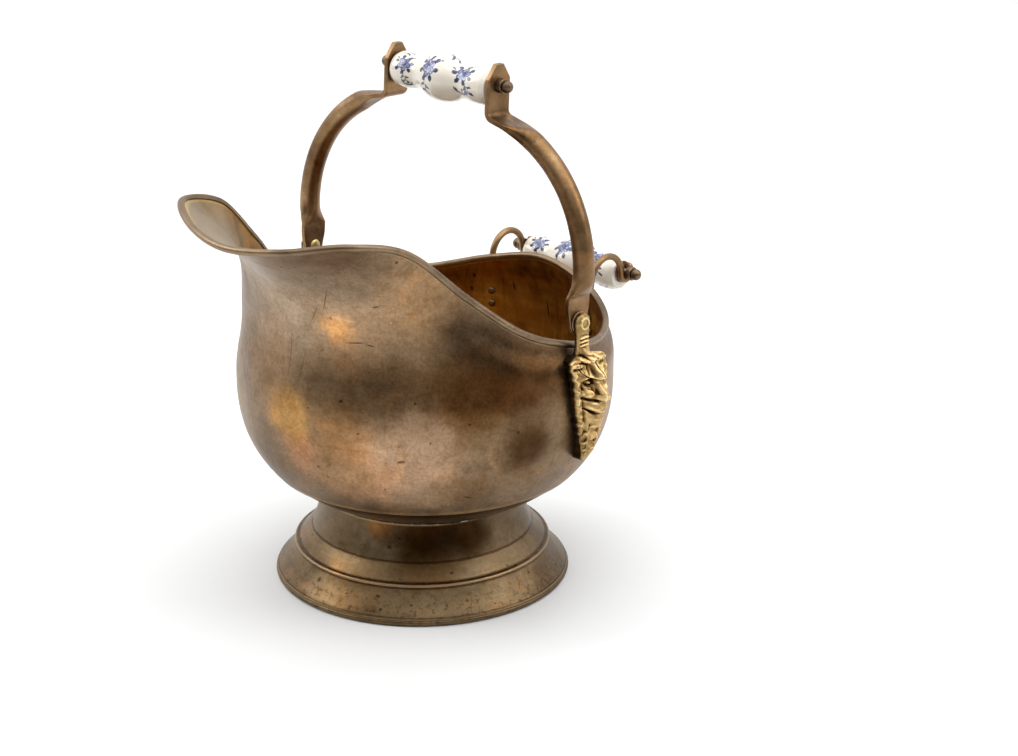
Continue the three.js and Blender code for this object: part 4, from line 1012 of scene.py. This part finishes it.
def brass(name, dark, middle, light, accent, rough=(0.34, 0.52), blotch=11.0, streak=0.5,
          specks=0.5, wear=0.5, recess_shade=0.0, grain=1.0, tint=None, relief=False):
    """Aged brass: blotches, horizontal burnishing, specks and rubbed edges; where asked, painted shade in
    recesses and painted highlights and shade over the relief.
    """
    material, n, surface = new_material(name)
    at = n.here()
    broad = n.noise(at, blotch, 4, 0.55, 0.6)
    medium = n.noise(at, blotch * 3.7, 5, 0.6, 0.3)
    fine = n.noise(at, blotch * 17, 4, 0.65)
    bands = n.noise(n.stretched(at, 3.0, 3.0, 60.0), 1.6, 4, 0.6, 0.2)
    hair = n.noise(n.stretched(at, 30.0, 30.0, 900.0), 2.0, 3, 0.6, 0.4)
    tone = n.plus(n.times(broad, 0.55), n.times(medium, 0.30))
    tone = n.plus(tone, n.times(bands, 0.15 + 0.1 * streak))
    colour = n.mix(n.between(tone, 0.36, 0.56), dark, middle)
    colour = n.mix(n.between(tone, 0.54, 0.72), colour, light)
    warm = n.between(n.noise(at, blotch * 1.6, 3, 0.5, 1.2), 0.55, 0.72)
    colour = n.mix(n.times(warm, 0.6), colour, accent)
    colour = n.mix(n.between(fine, 0.3, 0.7, 0.0, 0.28), colour, tuple(v * 0.55 for v in middle))
    spot = n.put("ShaderNodeTexVoronoi", {"Vector": at, "Scale": 95.0, "Randomness": 1.0}).outputs["Distance"]
    thin = n.between(n.noise(at, 23.0, 2, 0.5), 0.52, 0.66)
    dots = n.times(n.between(spot, 0.16, 0.07), thin)
    if tint:
        colour = tint(n, at, colour, medium)
    colour = n.mix(n.times(dots, specks), colour, (0.03, 0.018, 0.010))
    edge = n.put("ShaderNodeNewGeometry").outputs["Pointiness"]
    rubbed = n.between(edge, 0.515, 0.57)
    colour = n.mix(n.times(rubbed, wear), colour, tuple(min(1, v * 1.5) for v in light))
    # painted shade: the colour darkens in recesses, where shade would fall
    if recess_shade:
        sunk = n.between(edge, 0.49, 0.42)
        colour = n.mix(n.times(sunk, recess_shade), colour, tuple(v * 0.22 for v in dark))
    # painted highlight on the proud parts of the casting and painted shade, near black, in its hollows
    if relief:
        height = n.put("ShaderNodeAttribute", attribute_name="relief").outputs["Fac"]
        height = n.plus(height, n.between(fine, 0.2, 0.8, -0.25, 0.25))
        colour = n.mix(n.between(height, 0.1, 0.9), colour, tuple(min(1, v * 1.25) for v in light))
        colour = n.mix(n.between(height, -0.05, -0.9, 0.0, 0.97), colour, (0.030, 0.016, 0.007))
    shine = n.plus(n.times(medium, 0.6), n.times(hair, 0.4))
    roughness = n.between(shine, 0.3, 0.7, rough[0], rough[1])
    roughness = n.plus(roughness, n.times(dots, 0.2))
    normal = n.bump(hair, 0.10 * grain * streak, 0.0004)
    normal = n.bump(fine, 0.20 * grain, 0.0006, normal)
    normal = n.bump(medium, 0.25 * grain, 0.0015, normal)
    normal = n.bump(dots, -0.3, 0.0003, normal)
    finish_surface(n, surface, Base_Color=colour, Metallic=1.0, Roughness=roughness, Normal=normal)
    return material


def shaded(n, colour, share, times):
    """The colour multiplied where the share is 1."""
    return n.mix(share, colour, n.vector("MULTIPLY", colour, times))


def marked(n, at, marks):
    """1 inside thin marks on the surface: place, tilt in degrees, length, width (mm)."""
    nearest = None
    for spot, tilt, length, width in marks:
        azimuth = math.atan2(spot[1] - BOWL_SET_BACK, spot[0])
        local = n.put("ShaderNodeMapping", {
            "Vector": at, "Location": tuple(c * MM for c in spot),
            "Rotation": (math.radians(tilt), 0, azimuth),
            "Scale": (0.03, length / 2 * MM, width / 2 * MM)}, vector_type="TEXTURE").outputs[0]
        away = n.vector("LENGTH", local)
        nearest = away if nearest is None else n.least(nearest, away)
    return n.between(nearest, 1.0, 0.35)


def warped(n, at, reach, scale):
    """The place moved about by a smooth noise, for ragged edges."""
    push = n.put("ShaderNodeTexNoise", {"Vector": at, "Scale": scale, "Detail": 4.0, "Roughness": 0.6})
    push = n.vector("SUBTRACT", push.outputs["Color"], (0.5, 0.5, 0.5))
    return n.vector("ADD", at, n.vector("SCALE", push, scale=reach))


def body_tint(n, at, colour, _tone):
    """The patina's large clouds, some of them painted reflections, the painted dark reflection band round the
    bowl, the bands at the seam, marks and scratches.
    """
    ragged = warped(n, at, 0.036, 26.0)
    parts = n.split(ragged)
    # painted reflection: a dark band round the bowl, strongest on the +X side
    front = n.between(parts[0], -0.03, 0.10, 0.35, 1.0)
    dark_reflection_band = n.times(n.between(parts[2], 0.165, 0.190), n.between(parts[2], 0.232, 0.206))
    colour = shaded(n, colour, n.times(dark_reflection_band, front), (0.72, 0.63, 0.53))
    # some of these clouds are painted reflections, bright and dark, the rest patina
    for centre, reach, times in BODY_PATINA_AND_REFLECTIONS:
        colour = shaded(n, colour, n.patch(ragged, centre, reach, 0.75), times)
    mottle = n.between(n.noise(at, 85.0, 5, 0.7, 0.4), 0.42, 0.66)
    colour = shaded(n, colour, mottle, (0.84, 0.79, 0.73))
    stain = n.between(n.noise(warped(n, at, 0.02, 60.0), 30.0, 6, 0.75), 0.57, 0.63)
    colour = shaded(n, colour, n.times(stain, 0.8), (0.84, 0.77, 0.68))
    grain = n.between(n.noise(at, 420.0, 4, 0.8), 0.40, 0.64)
    colour = shaded(n, colour, grain, (0.80, 0.76, 0.72))
    lines = n.between(n.noise(n.stretched(at, 3.0, 3.0, 260.0), 3.0, 4, 0.7, 0.3), 0.60, 0.75)
    colour = shaded(n, colour, n.times(lines, 0.35), (0.6, 0.55, 0.5))
    height = n.split(warped(n, at, 0.004, 120.0))[2]
    worn = n.times(n.between(height, 0.0965, 0.0935), n.between(height, 0.0910, 0.0925))
    colour = shaded(n, colour, worn, (1.5, 1.25, 0.9))
    # darker band on the pan just below the seam's edge
    dark_under_seam = n.times(n.between(height, 0.0925, 0.0910), n.between(height, 0.0820, 0.0890))
    colour = shaded(n, colour, dark_under_seam, (0.30, 0.25, 0.20))
    colour = shaded(n, colour, n.times(marked(n, at, DARK_MARKS), 0.85), (0.22, 0.18, 0.16))
    return shaded(n, colour, n.times(marked(n, at, LIGHT_MARKS), 0.7), (1.7, 1.65, 1.6))


def inside_tint(n, at, colour, tone):
    """Rust patches and runs inside, and the greyer sheet of the lip."""
    ragged = warped(n, at, 0.05, 30.0)
    runs = n.between(n.noise(n.stretched(at, 55.0, 55.0, 6.0), 1.6, 4, 0.65, 0.3), 0.50, 0.68)
    colour = shaded(n, colour, n.times(runs, 0.75), (0.42, 0.30, 0.22))
    rust = n.between(n.noise(ragged, 24.0, 3, 0.6), 0.55, 0.68)
    colour = shaded(n, colour, n.times(rust, 0.7), (0.95, 0.55, 0.35))
    lip = n.patch(ragged, (0, -190, 320), 150, 0.4)
    grey = n.mix(tone, (0.27, 0.20, 0.13), (0.46, 0.36, 0.25))
    colour = n.mix(lip, colour, grey)
    return shaded(n, colour, marked(n, at, INSIDE_MARKS), (0.12, 0.10, 0.08))


def foot_tint(n, at, colour, _tone):
    """Smoke and a painted dark reflection on the neck, painted shade in the creases, a painted highlight on
    the ridge and dirt low down.
    """
    ragged = warped(n, at, 0.03, 30.0)
    # the dark clouds on the neck are partly smoke, partly a painted dark reflection
    for centre, reach, times in FOOT_PATINA_AND_REFLECTIONS:
        colour = shaded(n, colour, n.patch(ragged, centre, reach, 0.7), times)
    height = n.split(warped(n, at, 0.0012, 160.0))[2]
    # painted shade along the creases and a painted highlight along the ridge
    for middle, half, times in FOOT_SHADE_AND_HIGHLIGHT_LINES:
        away = n.math("ABSOLUTE", n.minus(height, middle))
        colour = shaded(n, colour, n.between(away, half, half * 0.4), times)
    dirt = n.times(n.between(n.noise(at, 210.0, 4, 0.75), 0.50, 0.66),
                   n.between(height, 0.030, 0.006, 0.2, 0.8))
    colour = shaded(n, colour, dirt, (0.35, 0.30, 0.25))
    return shaded(n, colour, n.times(marked(n, at, FOOT_MARKS), 0.8), (0.2, 0.18, 0.15))


# clouds in the patina, several of them painted reflections of the room, bright and dark: place (mm), reach
# (mm), what the colour is multiplied by
BODY_PATINA_AND_REFLECTIONS = [
    ((20, -135, 270), 95, (1.35, 1.45, 1.66)), ((95, -100, 265), 50, (1.32, 1.22, 1.12)),
    ((118, -60, 232), 52, (0.50, 0.47, 0.46)), ((124, -70, 195), 50, (0.66, 0.50, 0.33)),
    ((140, -30, 200), 45, (0.62, 0.50, 0.38)), ((141, -33, 150), 30, (0.40, 0.30, 0.20)),
    ((-2, -141, 167), 30, (1.75, 1.45, 0.85)), ((39, -127, 237), 20, (1.75, 1.40, 0.95)),
    ((50, -130, 232), 42, (1.35, 1.22, 1.10)), ((-30, -138, 205), 45, (1.35, 1.30, 1.30)),
    ((91, -106, 145), 58, (1.75, 1.72, 1.90)),
    ((60, -125, 125), 40, (1.35, 1.18, 1.05)), ((10, -138, 138), 26, (1.50, 1.20, 1.10)),
    ((-34, -124, 110), 40, (0.75, 0.70, 0.62)), ((46, -131, 160), 34, (1.25, 1.02, 0.80)),
    ((113, -68, 118), 30, (0.80, 0.72, 0.64)), ((-60, -128, 215), 60, (0.80, 0.78, 0.75)),
    ((-130, -50, 170), 60, (1.4, 1.25, 1.1)), ((-120, 60, 200), 70, (0.6, 0.52, 0.42)),
    ((40, 148, 150), 60, (1.4, 1.25, 1.0)), ((-40, 150, 190), 60, (0.65, 0.6, 0.5)),
    ((120, 80, 150), 60, (1.3, 1.2, 1.1)),
]
# pits, stains and scratches: place (mm), tilt in degrees, length and width (mm)
DARK_MARKS = [
    ((86.9, -110.8, 145.0), 10, 9, 3.6), ((121.6, -74.8, 173.1), 0, 3.4, 2.6),
    ((46.1, -131.1, 187.7), 20, 5, 3.2), ((112.6, -68.1, 110.9), -18, 9, 2.2),
    ((55, -126, 232), 6, 22, 1.6), ((66, -121, 231), -10, 9, 1.8), ((70, -117, 262), 12, 8, 1.6),
    ((36, -134, 264), 68, 30, 0.9), ((24, -137, 250), 60, 24, 0.7), ((-2, -138, 215), 86, 46, 0.9),
    ((10, -137, 205), 80, 36, 0.7), ((95, -104, 190), 0, 3, 2.4), ((60, -128, 165), 0, 3, 2.2),
    ((20, -141, 178), 0, 2.6, 2.2), ((75, -118, 120), 0, 2.6, 2.0), ((100, -94, 160), 30, 3, 1.8),
]
LIGHT_MARKS = [
    ((8, -141, 160), 35, 30, 0.5), ((2, -141, 172), 25, 26, 0.5), ((14, -140, 150), 40, 22, 0.5),
    ((126, -66, 190), -38, 40, 0.5), ((-6, -139, 158), 30, 18, 0.5), ((104, -92, 215), 15, 10, 0.6),
    ((60, -126, 222), 20, 12, 0.6), ((80, -113, 250), 0, 3, 1.6), ((112, -82, 180), 50, 14, 0.4),
    ((40, -135, 140), 15, 20, 0.4),
]
INSIDE_MARKS = [
    ((-60, 122, 195), 0, 5, 7), ((-62, 121, 183), 0, 5, 6), ((-30, 133, 190), 80, 14, 3),
    ((0, 138, 176), 85, 24, 2.5), ((20, 135, 180), 70, 10, 3), ((-75, 115, 170), 10, 8, 4),
    ((45, 130, 170), 60, 12, 2.5),
]
# clouds on the foot, of patina and, on the neck, of painted dark reflection: place (mm), reach (mm), what the
# colour is multiplied by
FOOT_PATINA_AND_REFLECTIONS = [
    ((55, -55, 62), 36, (0.30, 0.20, 0.12)), ((74, -27, 62), 30, (0.34, 0.24, 0.14)),
    ((30, -74, 68), 16, (1.35, 0.95, 0.60)), ((62, -62, 40), 40, (0.72, 0.60, 0.46)),
    ((20, -100, 18), 40, (1.25, 1.15, 1.0)), ((-60, 60, 60), 60, (0.7, 0.6, 0.5)),
    ((90, 40, 15), 50, (0.8, 0.75, 0.7)), ((-60, -80, 20), 40, (1.2, 1.15, 1.1)),
]
# lines round the foot, painted shade in the creases and a painted highlight on the ridge: height and half
# width (m), what the colour is multiplied by
FOOT_SHADE_AND_HIGHLIGHT_LINES = [
    (0.0400, 0.0012, (0.45, 0.38, 0.32)), (0.0265, 0.0014, (1.7, 1.55, 1.35)),
    (0.0284, 0.0007, (0.55, 0.5, 0.45)), (0.0240, 0.0007, (0.6, 0.55, 0.5)),
    (0.0060, 0.0010, (0.55, 0.5, 0.45)),
]
FOOT_MARKS = [
    ((36, -73, 50), 0, 5, 4), ((43, -70, 57), 0, 3, 2), ((55, -83, 30), 0, 3, 1.6),
    ((20, -109, 16), 20, 5, 1.6), ((45, -98, 18), 0, 6, 3), ((82, -52, 33), 0, 4, 2.2),
    ((-12, -108, 18), 40, 5, 5), ((70, -86, 14), 0, 3, 2),
]


def leather_material():
    material, n, surface = new_material("washer_leather")
    at = n.here()
    grain = n.put("ShaderNodeTexVoronoi", {"Vector": at, "Scale": 900.0}).outputs["Distance"]
    tone = n.noise(at, 160.0, 4, 0.6)
    colour = n.mix(tone, (0.10, 0.035, 0.018), (0.24, 0.10, 0.05))
    normal = n.bump(grain, 0.4, 0.0002)
    finish_surface(n, surface, Base_Color=colour, Roughness=0.72, Normal=normal)
    return material


def solder_material():
    material, n, surface = new_material("solder")
    at = n.here()
    clean = n.between(n.noise(at, 130.0, 4, 0.65), 0.54, 0.64)
    colour = n.mix(clean, (0.045, 0.028, 0.016), (0.62, 0.60, 0.55))
    normal = n.bump(n.noise(at, 700.0, 3), 0.4, 0.0004)
    finish_surface(n, surface, Base_Color=colour, Metallic=0.8, Roughness=0.42, Normal=normal)
    return material


# Strokes of the painted flowers: across, up, turn, half length, half width (mm)
STEM_STROKES = [
    (-0.6, -8.2, -1.4, 2.4, 0.28), (0.4, -12.2, -1.8, 2.3, 0.26), (-2.0, -10.2, -2.6, 1.7, 0.65),
    (2.0, -10.9, -0.4, 1.8, 0.7), (-1.7, -14.0, -2.4, 1.5, 0.6), (1.6, -15.2, -1.0, 1.8, 0.75),
    (5.6, 5.4, 0.8, 1.5, 0.45), (7.2, 6.8, 0.5, 0.7, 0.5), (-6.2, 6.0, 2.3, 1.4, 0.4),
]
SPRIG_STROKES = [
    (-3.6, 0.6, 0.3, 1.7, 0.5), (-1.2, -0.4, -0.5, 1.5, 0.6), (1.4, 0.7, 0.2, 2.0, 0.35),
    (4.0, -0.3, -0.6, 1.2, 0.6), (0.2, -2.0, -1.2, 1.1, 0.6), (-5.8, 1.2, 0.4, 0.9, 0.4),
]
SCROLL_STROKES = [
    (-4.6, 0.8, -1.0, 2.4, 0.8), (-2.0, -1.6, -0.4, 2.6, 0.7), (1.2, -2.2, 0.0, 2.6, 0.8),
    (3.9, -0.8, 0.8, 2.3, 0.9), (4.6, 1.7, 1.4, 1.6, 0.7), (0.8, 0.7, 1.5, 1.3, 0.8),
]


def strokes_group(name, strokes):
    """A node group: how near a point is to the strokes, under 1 inside them."""
    group = bpy.data.node_groups.new(name, "ShaderNodeTree")
    group.interface.new_socket("Vector", in_out="INPUT", socket_type="NodeSocketVector")
    group.interface.new_socket("Near", in_out="OUTPUT", socket_type="NodeSocketFloat")
    n = Nodes(group)
    entry, leave = n.put("NodeGroupInput"), n.put("NodeGroupOutput")
    nearest = None
    for across, up, turn, length, width in strokes:
        away = n.vector("LENGTH", n.placed(entry.outputs[0], across, up, turn, length, width))
        nearest = away if nearest is None else n.least(nearest, away)
    group.links.new(nearest, leave.inputs[0])
    return group


def nearest_of(n, flat, places):
    """The point in the frame of whichever place it is nearest to."""
    chosen, reach = None, None
    for along, degrees, roll, size in places:
        local = n.placed(flat(along, degrees), 0, 0, math.radians(roll), size, size)
        away = n.vector("LENGTH", local)
        if chosen is None:
            chosen, reach = local, away
        else:
            nearer = n.math("LESS_THAN", away, reach)
            step = n.vector("SCALE", n.vector("SUBTRACT", local, chosen), scale=nearer)
            chosen = n.vector("ADD", chosen, step)
            reach = n.least(reach, away)
    return chosen


def folded(n, radius, angle, parts, shift, out, length, width):
    """Distance from a ring of equal petals round the flower's middle."""
    half = PI / parts
    turn = n.math("WRAP", n.plus(angle, shift), half, -half)
    across = n.math("DIVIDE", n.minus(n.times(radius, n.math("COSINE", turn)), out), length)
    up = n.math("DIVIDE", n.times(radius, n.math("SINE", turn)), width)
    return n.math("SQRT", n.plus(n.times(across, across), n.times(up, up))), turn


def porcelain_material(name, centre, turned):
    """White glaze with blue painted flowers laid out round the grip."""
    material, n, surface = new_material(name)
    at = n.here()
    local = n.vector("SCALE", n.vector("SUBTRACT", at, centre), scale=1000.0)
    parts = n.split(local)
    angle = n.math("ARCTAN2", n.times(parts[1], -1.0), parts[2])
    angle = n.minus(angle, math.radians(turned))
    wobble = n.put("ShaderNodeTexNoise", {"Vector": local, "Scale": 0.55, "Detail": 3.0}).outputs["Color"]
    wobble = n.vector("SCALE", n.vector("SUBTRACT", wobble, (0.5, 0.5, 0.5)), scale=2.2)

    def flat(along, degrees):
        swing = n.math("WRAP", n.minus(angle, math.radians(degrees)), PI, -PI)
        spot = n.put("ShaderNodeCombineXYZ", {0: n.minus(parts[0], along),
                                              1: n.times(swing, -MEAN_RADIUS), 2: 0.0}).outputs[0]
        return n.vector("MULTIPLY", n.vector("ADD", spot, wobble), (1, 1, 0))

    spray = nearest_of(n, flat, SPRAYS)
    p = n.split(spray)
    radius = n.vector("LENGTH", spray)
    turn = n.math("ARCTAN2", p[1], p[0])
    petal, inner_turn = folded(n, radius, turn, 5, 0.35, 3.0, 2.6, 2.1)
    leaf, _ = folded(n, radius, turn, 7, 0.9, 6.7, 1.6, 1.25)
    fine = n.noise(local, 1.9, 3, 0.6)
    ragged = n.times(n.minus(fine, 0.5), 0.55)
    groups = []
    for strokes, places in ((STEM_STROKES, None), (SPRIG_STROKES, SPRIGS), (SCROLL_STROKES, SCROLLS)):
        holder = n.put("ShaderNodeGroup", node_tree=strokes_group(f"{name}_{len(groups)}", strokes))
        n.tree.links.new(spray if places is None else nearest_of(n, flat, places), holder.inputs[0])
        groups.append(holder.outputs[0])
    dark = n.least(n.least(groups[0], groups[1]), n.least(groups[2], leaf))
    dark = n.between(n.plus(dark, ragged), 1.30, 1.02)
    rim_line = n.times(n.between(petal, 1.16, 1.0), n.between(petal, 0.70, 0.92))
    vein = n.times(n.between(n.math("ABSOLUTE", inner_turn), 0.20, 0.06),
                  n.times(n.between(radius, 1.2, 1.8), n.between(radius, 4.4, 3.4)))
    heart = n.times(n.between(radius, 2.1, 1.5), n.between(radius, 0.5, 0.9))
    lines = n.math("MAXIMUM", n.math("MAXIMUM", rim_line, heart), n.times(vein, 0.8))
    wash = n.between(n.plus(petal, ragged), 1.22, 1.0)
    pool = n.noise(local, 0.42, 3, 0.6)
    white = n.mix(n.noise(local, 0.06, 2, 0.5), (0.80, 0.735, 0.62), (0.88, 0.83, 0.73))
    blue = n.mix(n.between(pool, 0.35, 0.65), (0.001, 0.004, 0.035), (0.007, 0.024, 0.15))
    colour = n.mix(n.times(wash, n.between(pool, 0.35, 0.62, 0.45, 0.95)), white, (0.020, 0.070, 0.33))
    colour = n.mix(n.times(lines, n.between(fine, 0.3, 0.6, 0.45, 0.95)), colour, blue)
    colour = n.mix(n.times(dark, 0.95), colour, blue)
    normal = n.bump(n.noise(local, 0.10, 2, 0.5), 0.12, 0.002)
    finish_surface(n, surface, Base_Color=colour, Roughness=0.14, Normal=normal,
                   Coat_Weight=0.5, Coat_Roughness=0.04)
    return material


# radius at which the flowers are laid out (mm)
MEAN_RADIUS = 15.5
# mm along the grip, degrees from the top towards the front, roll in degrees, scale
SPRAYS = [(-33, 58, 10, 1.08), (-4, 56, -8, 1.18), (27, 48, 28, 1.25),
          (-22, 178, 20, 1.05), (12, 196, -30, 1.1), (37, 176, 5, 0.9), (-38, 262, 0, 0.9)]
SPRIGS = [(11, 2, -12, 1.3), (-34, 14, 20, 1.0), (30, 8, 10, 1.0)]
SCROLLS = [(27, 106, 5, 1.15), (-10, 285, 10, 1.0), (-30, 122, -15, 0.9)]

DARK = (0.175, 0.118, 0.068)
MIDDLE = (0.265, 0.180, 0.104)
LIGHT = (0.37, 0.262, 0.155)
ACCENT = (0.37, 0.225, 0.115)

shell_outside = brass("body_brass", DARK, MIDDLE, LIGHT, ACCENT, (0.34, 0.48), 17.0, 0.8, 0.7, 0.4,
                      tint=body_tint)
shell_inside = brass("inside_brass", (0.12, 0.056, 0.014), (0.39, 0.205, 0.042), (0.78, 0.50, 0.13),
                     (0.44, 0.19, 0.034), (0.38, 0.55), 16.0, 0.7, 0.8, 0.3, tint=inside_tint)
edge_brass = brass("edge_brass", (0.15, 0.10, 0.06), (0.27, 0.19, 0.12), (0.40, 0.30, 0.19),
                   (0.33, 0.21, 0.11), (0.34, 0.5), 14.0, 0.2, 0.3, 0.6)
foot_brass = brass("foot_brass", (0.085, 0.052, 0.026), (0.165, 0.112, 0.060), (0.26, 0.185, 0.105),
                   (0.22, 0.12, 0.05), (0.36, 0.52), 19.0, 0.8, 0.9, 0.6, tint=foot_tint)
# the cast brass of the masks and pins carries painted shade in recesses and painted highlights and shade from
# the relief
cast_brass = brass("cast_brass", (0.26, 0.15, 0.05), (0.54, 0.36, 0.15), (0.80, 0.58, 0.28),
                   (0.62, 0.40, 0.15), (0.36, 0.54), 60.0, 0.0, 0.3, 0.6, 0.6, 1.6, relief=True)
tube_brass = brass("tube_brass", (0.13, 0.070, 0.030), (0.28, 0.165, 0.078), (0.46, 0.31, 0.165),
                   (0.36, 0.18, 0.065), (0.34, 0.48), 26.0, 0.0, 0.4, 0.6)
rivet_brass = brass("rivet_brass", (0.09, 0.055, 0.03), (0.17, 0.11, 0.065), (0.28, 0.19, 0.11),
                    (0.2, 0.11, 0.06), (0.4, 0.55), 60.0, 0.0, 0.3, 0.8)
nut_brass = brass("nut_brass", (0.10, 0.065, 0.04), (0.20, 0.135, 0.085), (0.34, 0.24, 0.16),
                  (0.24, 0.14, 0.08), (0.32, 0.48), 60.0, 0.0, 0.3, 0.6)
steel = brass("spindle_steel", (0.10, 0.09, 0.08), (0.2, 0.18, 0.16), (0.3, 0.28, 0.26),
              (0.18, 0.12, 0.08), (0.35, 0.5), 50.0, 0.0, 0.4, 0.5)
leather = leather_material()
solder = solder_material()

# ---------------------------------------------------------------------- pieces

BODY = "scuttle_body"
make("body_fine", body_shape(), BODY, [shell_outside, shell_inside], ("body_shell",))
make("rim_fine", rim_shape(), BODY, [edge_brass], ("rim_wire",), 50)
make("pan_fine", pan_shape(), BODY, [shell_outside, shell_inside], ("bowl_bottom",))
make("foot_fine", foot_shape(), BODY, [foot_brass], ("foot",), 50)
make("foot_edge_fine", foot_wire_shape(), BODY, [foot_brass], ("foot_wire",), 50)
make("foot_solder", solder_shape(), BODY, [solder], (), 60)
both("mask", mask_shape, BODY, [cast_brass], 60)
both("bail_pin", pin_shape, BODY, [cast_brass])

mask_t = column_where(1, PIN_Y, 0.2, 0.45)
rivet_seat = SHEET + 3 * GAP
mask_rivet = rivet_seat + PLATE_FRONT - BELLY_RADIUS - 2 * GAP
hook_rivet = rivet_seat + HOOK_STRAP_THICK + 3.5 * GAP
for kind, t, top, drops, radius, length in (
        ("mask", mask_t, PIN_Z, MASK_RIVET_DROPS, MASK_RIVET_RADIUS, mask_rivet),
        ("hook", HOOK_T, HOOK_RIM[2], HOOK_RIVET_DROPS, HOOK_RIVET_RADIUS, hook_rivet)):
    for word, drop in zip(("upper", "lower"), drops):
        both(f"{kind}_rivet_{word}", lambda: rivet_shape(t, top - drop, radius, length, kind == "hook"),
             BODY, [rivet_brass])

both("rear_hook", hook_shape, BODY, [tube_brass], 50)
both("rear_washer", lambda: washer_shape(REAR_Y, REAR_Z), BODY, [leather])
both("rear_nut", lambda: nut_shape(REAR_NUT_AT, REAR_Y, REAR_Z), BODY, [nut_brass], 40)
make("rear_spindle_fine", spindle_shape(REAR_ROD_HALF, REAR_Y, REAR_Z), BODY, [steel],
     ("rear_spindle",))
both("bail_arm", arm_shape, "bail", [tube_brass], 28)
both("pin_washer", pin_washer_shape, "bail", [rivet_brass])
both("bail_washer", lambda: washer_shape(0, 0, True), "bail", [leather])
both("bail_nut", lambda: nut_shape(BAIL_NUT_AT, 0, 0, True), "bail", [nut_brass], 40)
make("bail_spindle_fine", spindle_shape(BAIL_ROD_HALF, 0, 0, True), "bail", [steel],
     ("bail_spindle",))

for end, turned in (("bail", 0), ("rear", -22)):
    grip_low, grip_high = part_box(f"{end}_grip")
    grip_middle = (Vector(grip_low) + Vector(grip_high)) / 2
    porcelain = porcelain_material(f"{end}_porcelain", tuple(grip_middle), turned)
    make(f"{end}_grip_fine", grip_shape(grip_middle), f"{end}_grip_roll", [porcelain],
         (f"{end}_grip",), 50)

# ---------------------------------------------------------------------- studio

LOOKED_AT = Vector((0, 0, 0.2))
TOWARDS_CAMERA = (0.669, -0.743, 0.0)
FLOOR_HALF = 14.0

def floor_piece():
    """A wide pale sweep of paper under and behind the object."""
    mesh = bpy.data.meshes.new("studio_floor")
    corners = [(x * FLOOR_HALF, y * FLOOR_HALF, 0) for x, y in ((-1, -1), (1, -1), (1, 1), (-1, 1))]
    mesh.from_pydata(corners, [], [(0, 1, 2, 3)])
    material, n, surface = new_material("studio_paper")
    at = n.here()
    tone = n.noise(at, 1.3, 3, 0.5)
    colour = n.mix(tone, (0.80, 0.815, 0.82), (0.83, 0.835, 0.835))
    finish_surface(n, surface, Base_Color=colour, Roughness=0.7)
    mesh.materials.append(material)
    floor = bpy.data.objects.new("studio_floor", mesh)
    bpy.context.scene.collection.objects.link(floor)
    floor.location.z = -0.0002


def area_light(name, stands, width, height, power):
    """A soft lamp that looks at the middle of the object."""
    data = bpy.data.lights.new(name, "AREA")
    data.shape = "RECTANGLE"
    data.size, data.size_y = width, height
    data.energy = power
    lamp = bpy.data.objects.new(name, data)
    lamp.location = stands
    lamp.rotation_euler = (LOOKED_AT - Vector(stands)).to_track_quat("-Z", "Y").to_euler()
    bpy.context.scene.collection.objects.link(lamp)


def world_light():
    """A soft room: white behind and above, dim low down on the camera's side."""
    world = bpy.data.worlds.new("studio_world")
    world.use_nodes = True
    tree = world.node_tree
    tree.nodes.clear()
    n = Nodes(tree)
    direction = n.put("ShaderNodeTexCoord").outputs["Generated"]
    height = n.split(direction)[2]
    towards = n.vector("DOT_PRODUCT", direction, TOWARDS_CAMERA)
    behind = n.between(towards, 0.15, -0.45)
    above = n.between(height, 0.34, 0.72)
    share = n.math("MAXIMUM", behind, above)
    colour = n.mix(share, (0.045, 0.04, 0.035), (1.0, 1.0, 1.0))
    background = n.put("ShaderNodeBackground", {"Color": colour, "Strength": 1.05})
    output = n.put("ShaderNodeOutputWorld")
    tree.links.new(background.outputs[0], output.inputs[0])
    bpy.context.scene.world = world


floor_piece()
world_light()
area_light("key_left", (-1.9, -1.3, 1.7), 1.2, 1.5, 26)
area_light("fill_right", (1.9, 1.2, 1.6), 1.2, 1.6, 20)
area_light("top", (0.1, 0.2, 2.6), 3.0, 3.0, 40)
bpy.context.scene.view_settings.view_transform = "Standard"

camera_data = bpy.data.cameras.new("photo_camera")
camera_data.lens = 91.94
camera_data.sensor_width = 36.0
camera_data.clip_start, camera_data.clip_end = 0.05, 60.0
camera = bpy.data.objects.new("photo_camera", camera_data)
camera.location = (1.3163, -1.3591, 0.8641)
camera.rotation_euler = (math.radians(90 - 20.48), 0, math.radians(42))
bpy.context.scene.collection.objects.link(camera)
bpy.context.scene.camera = camera
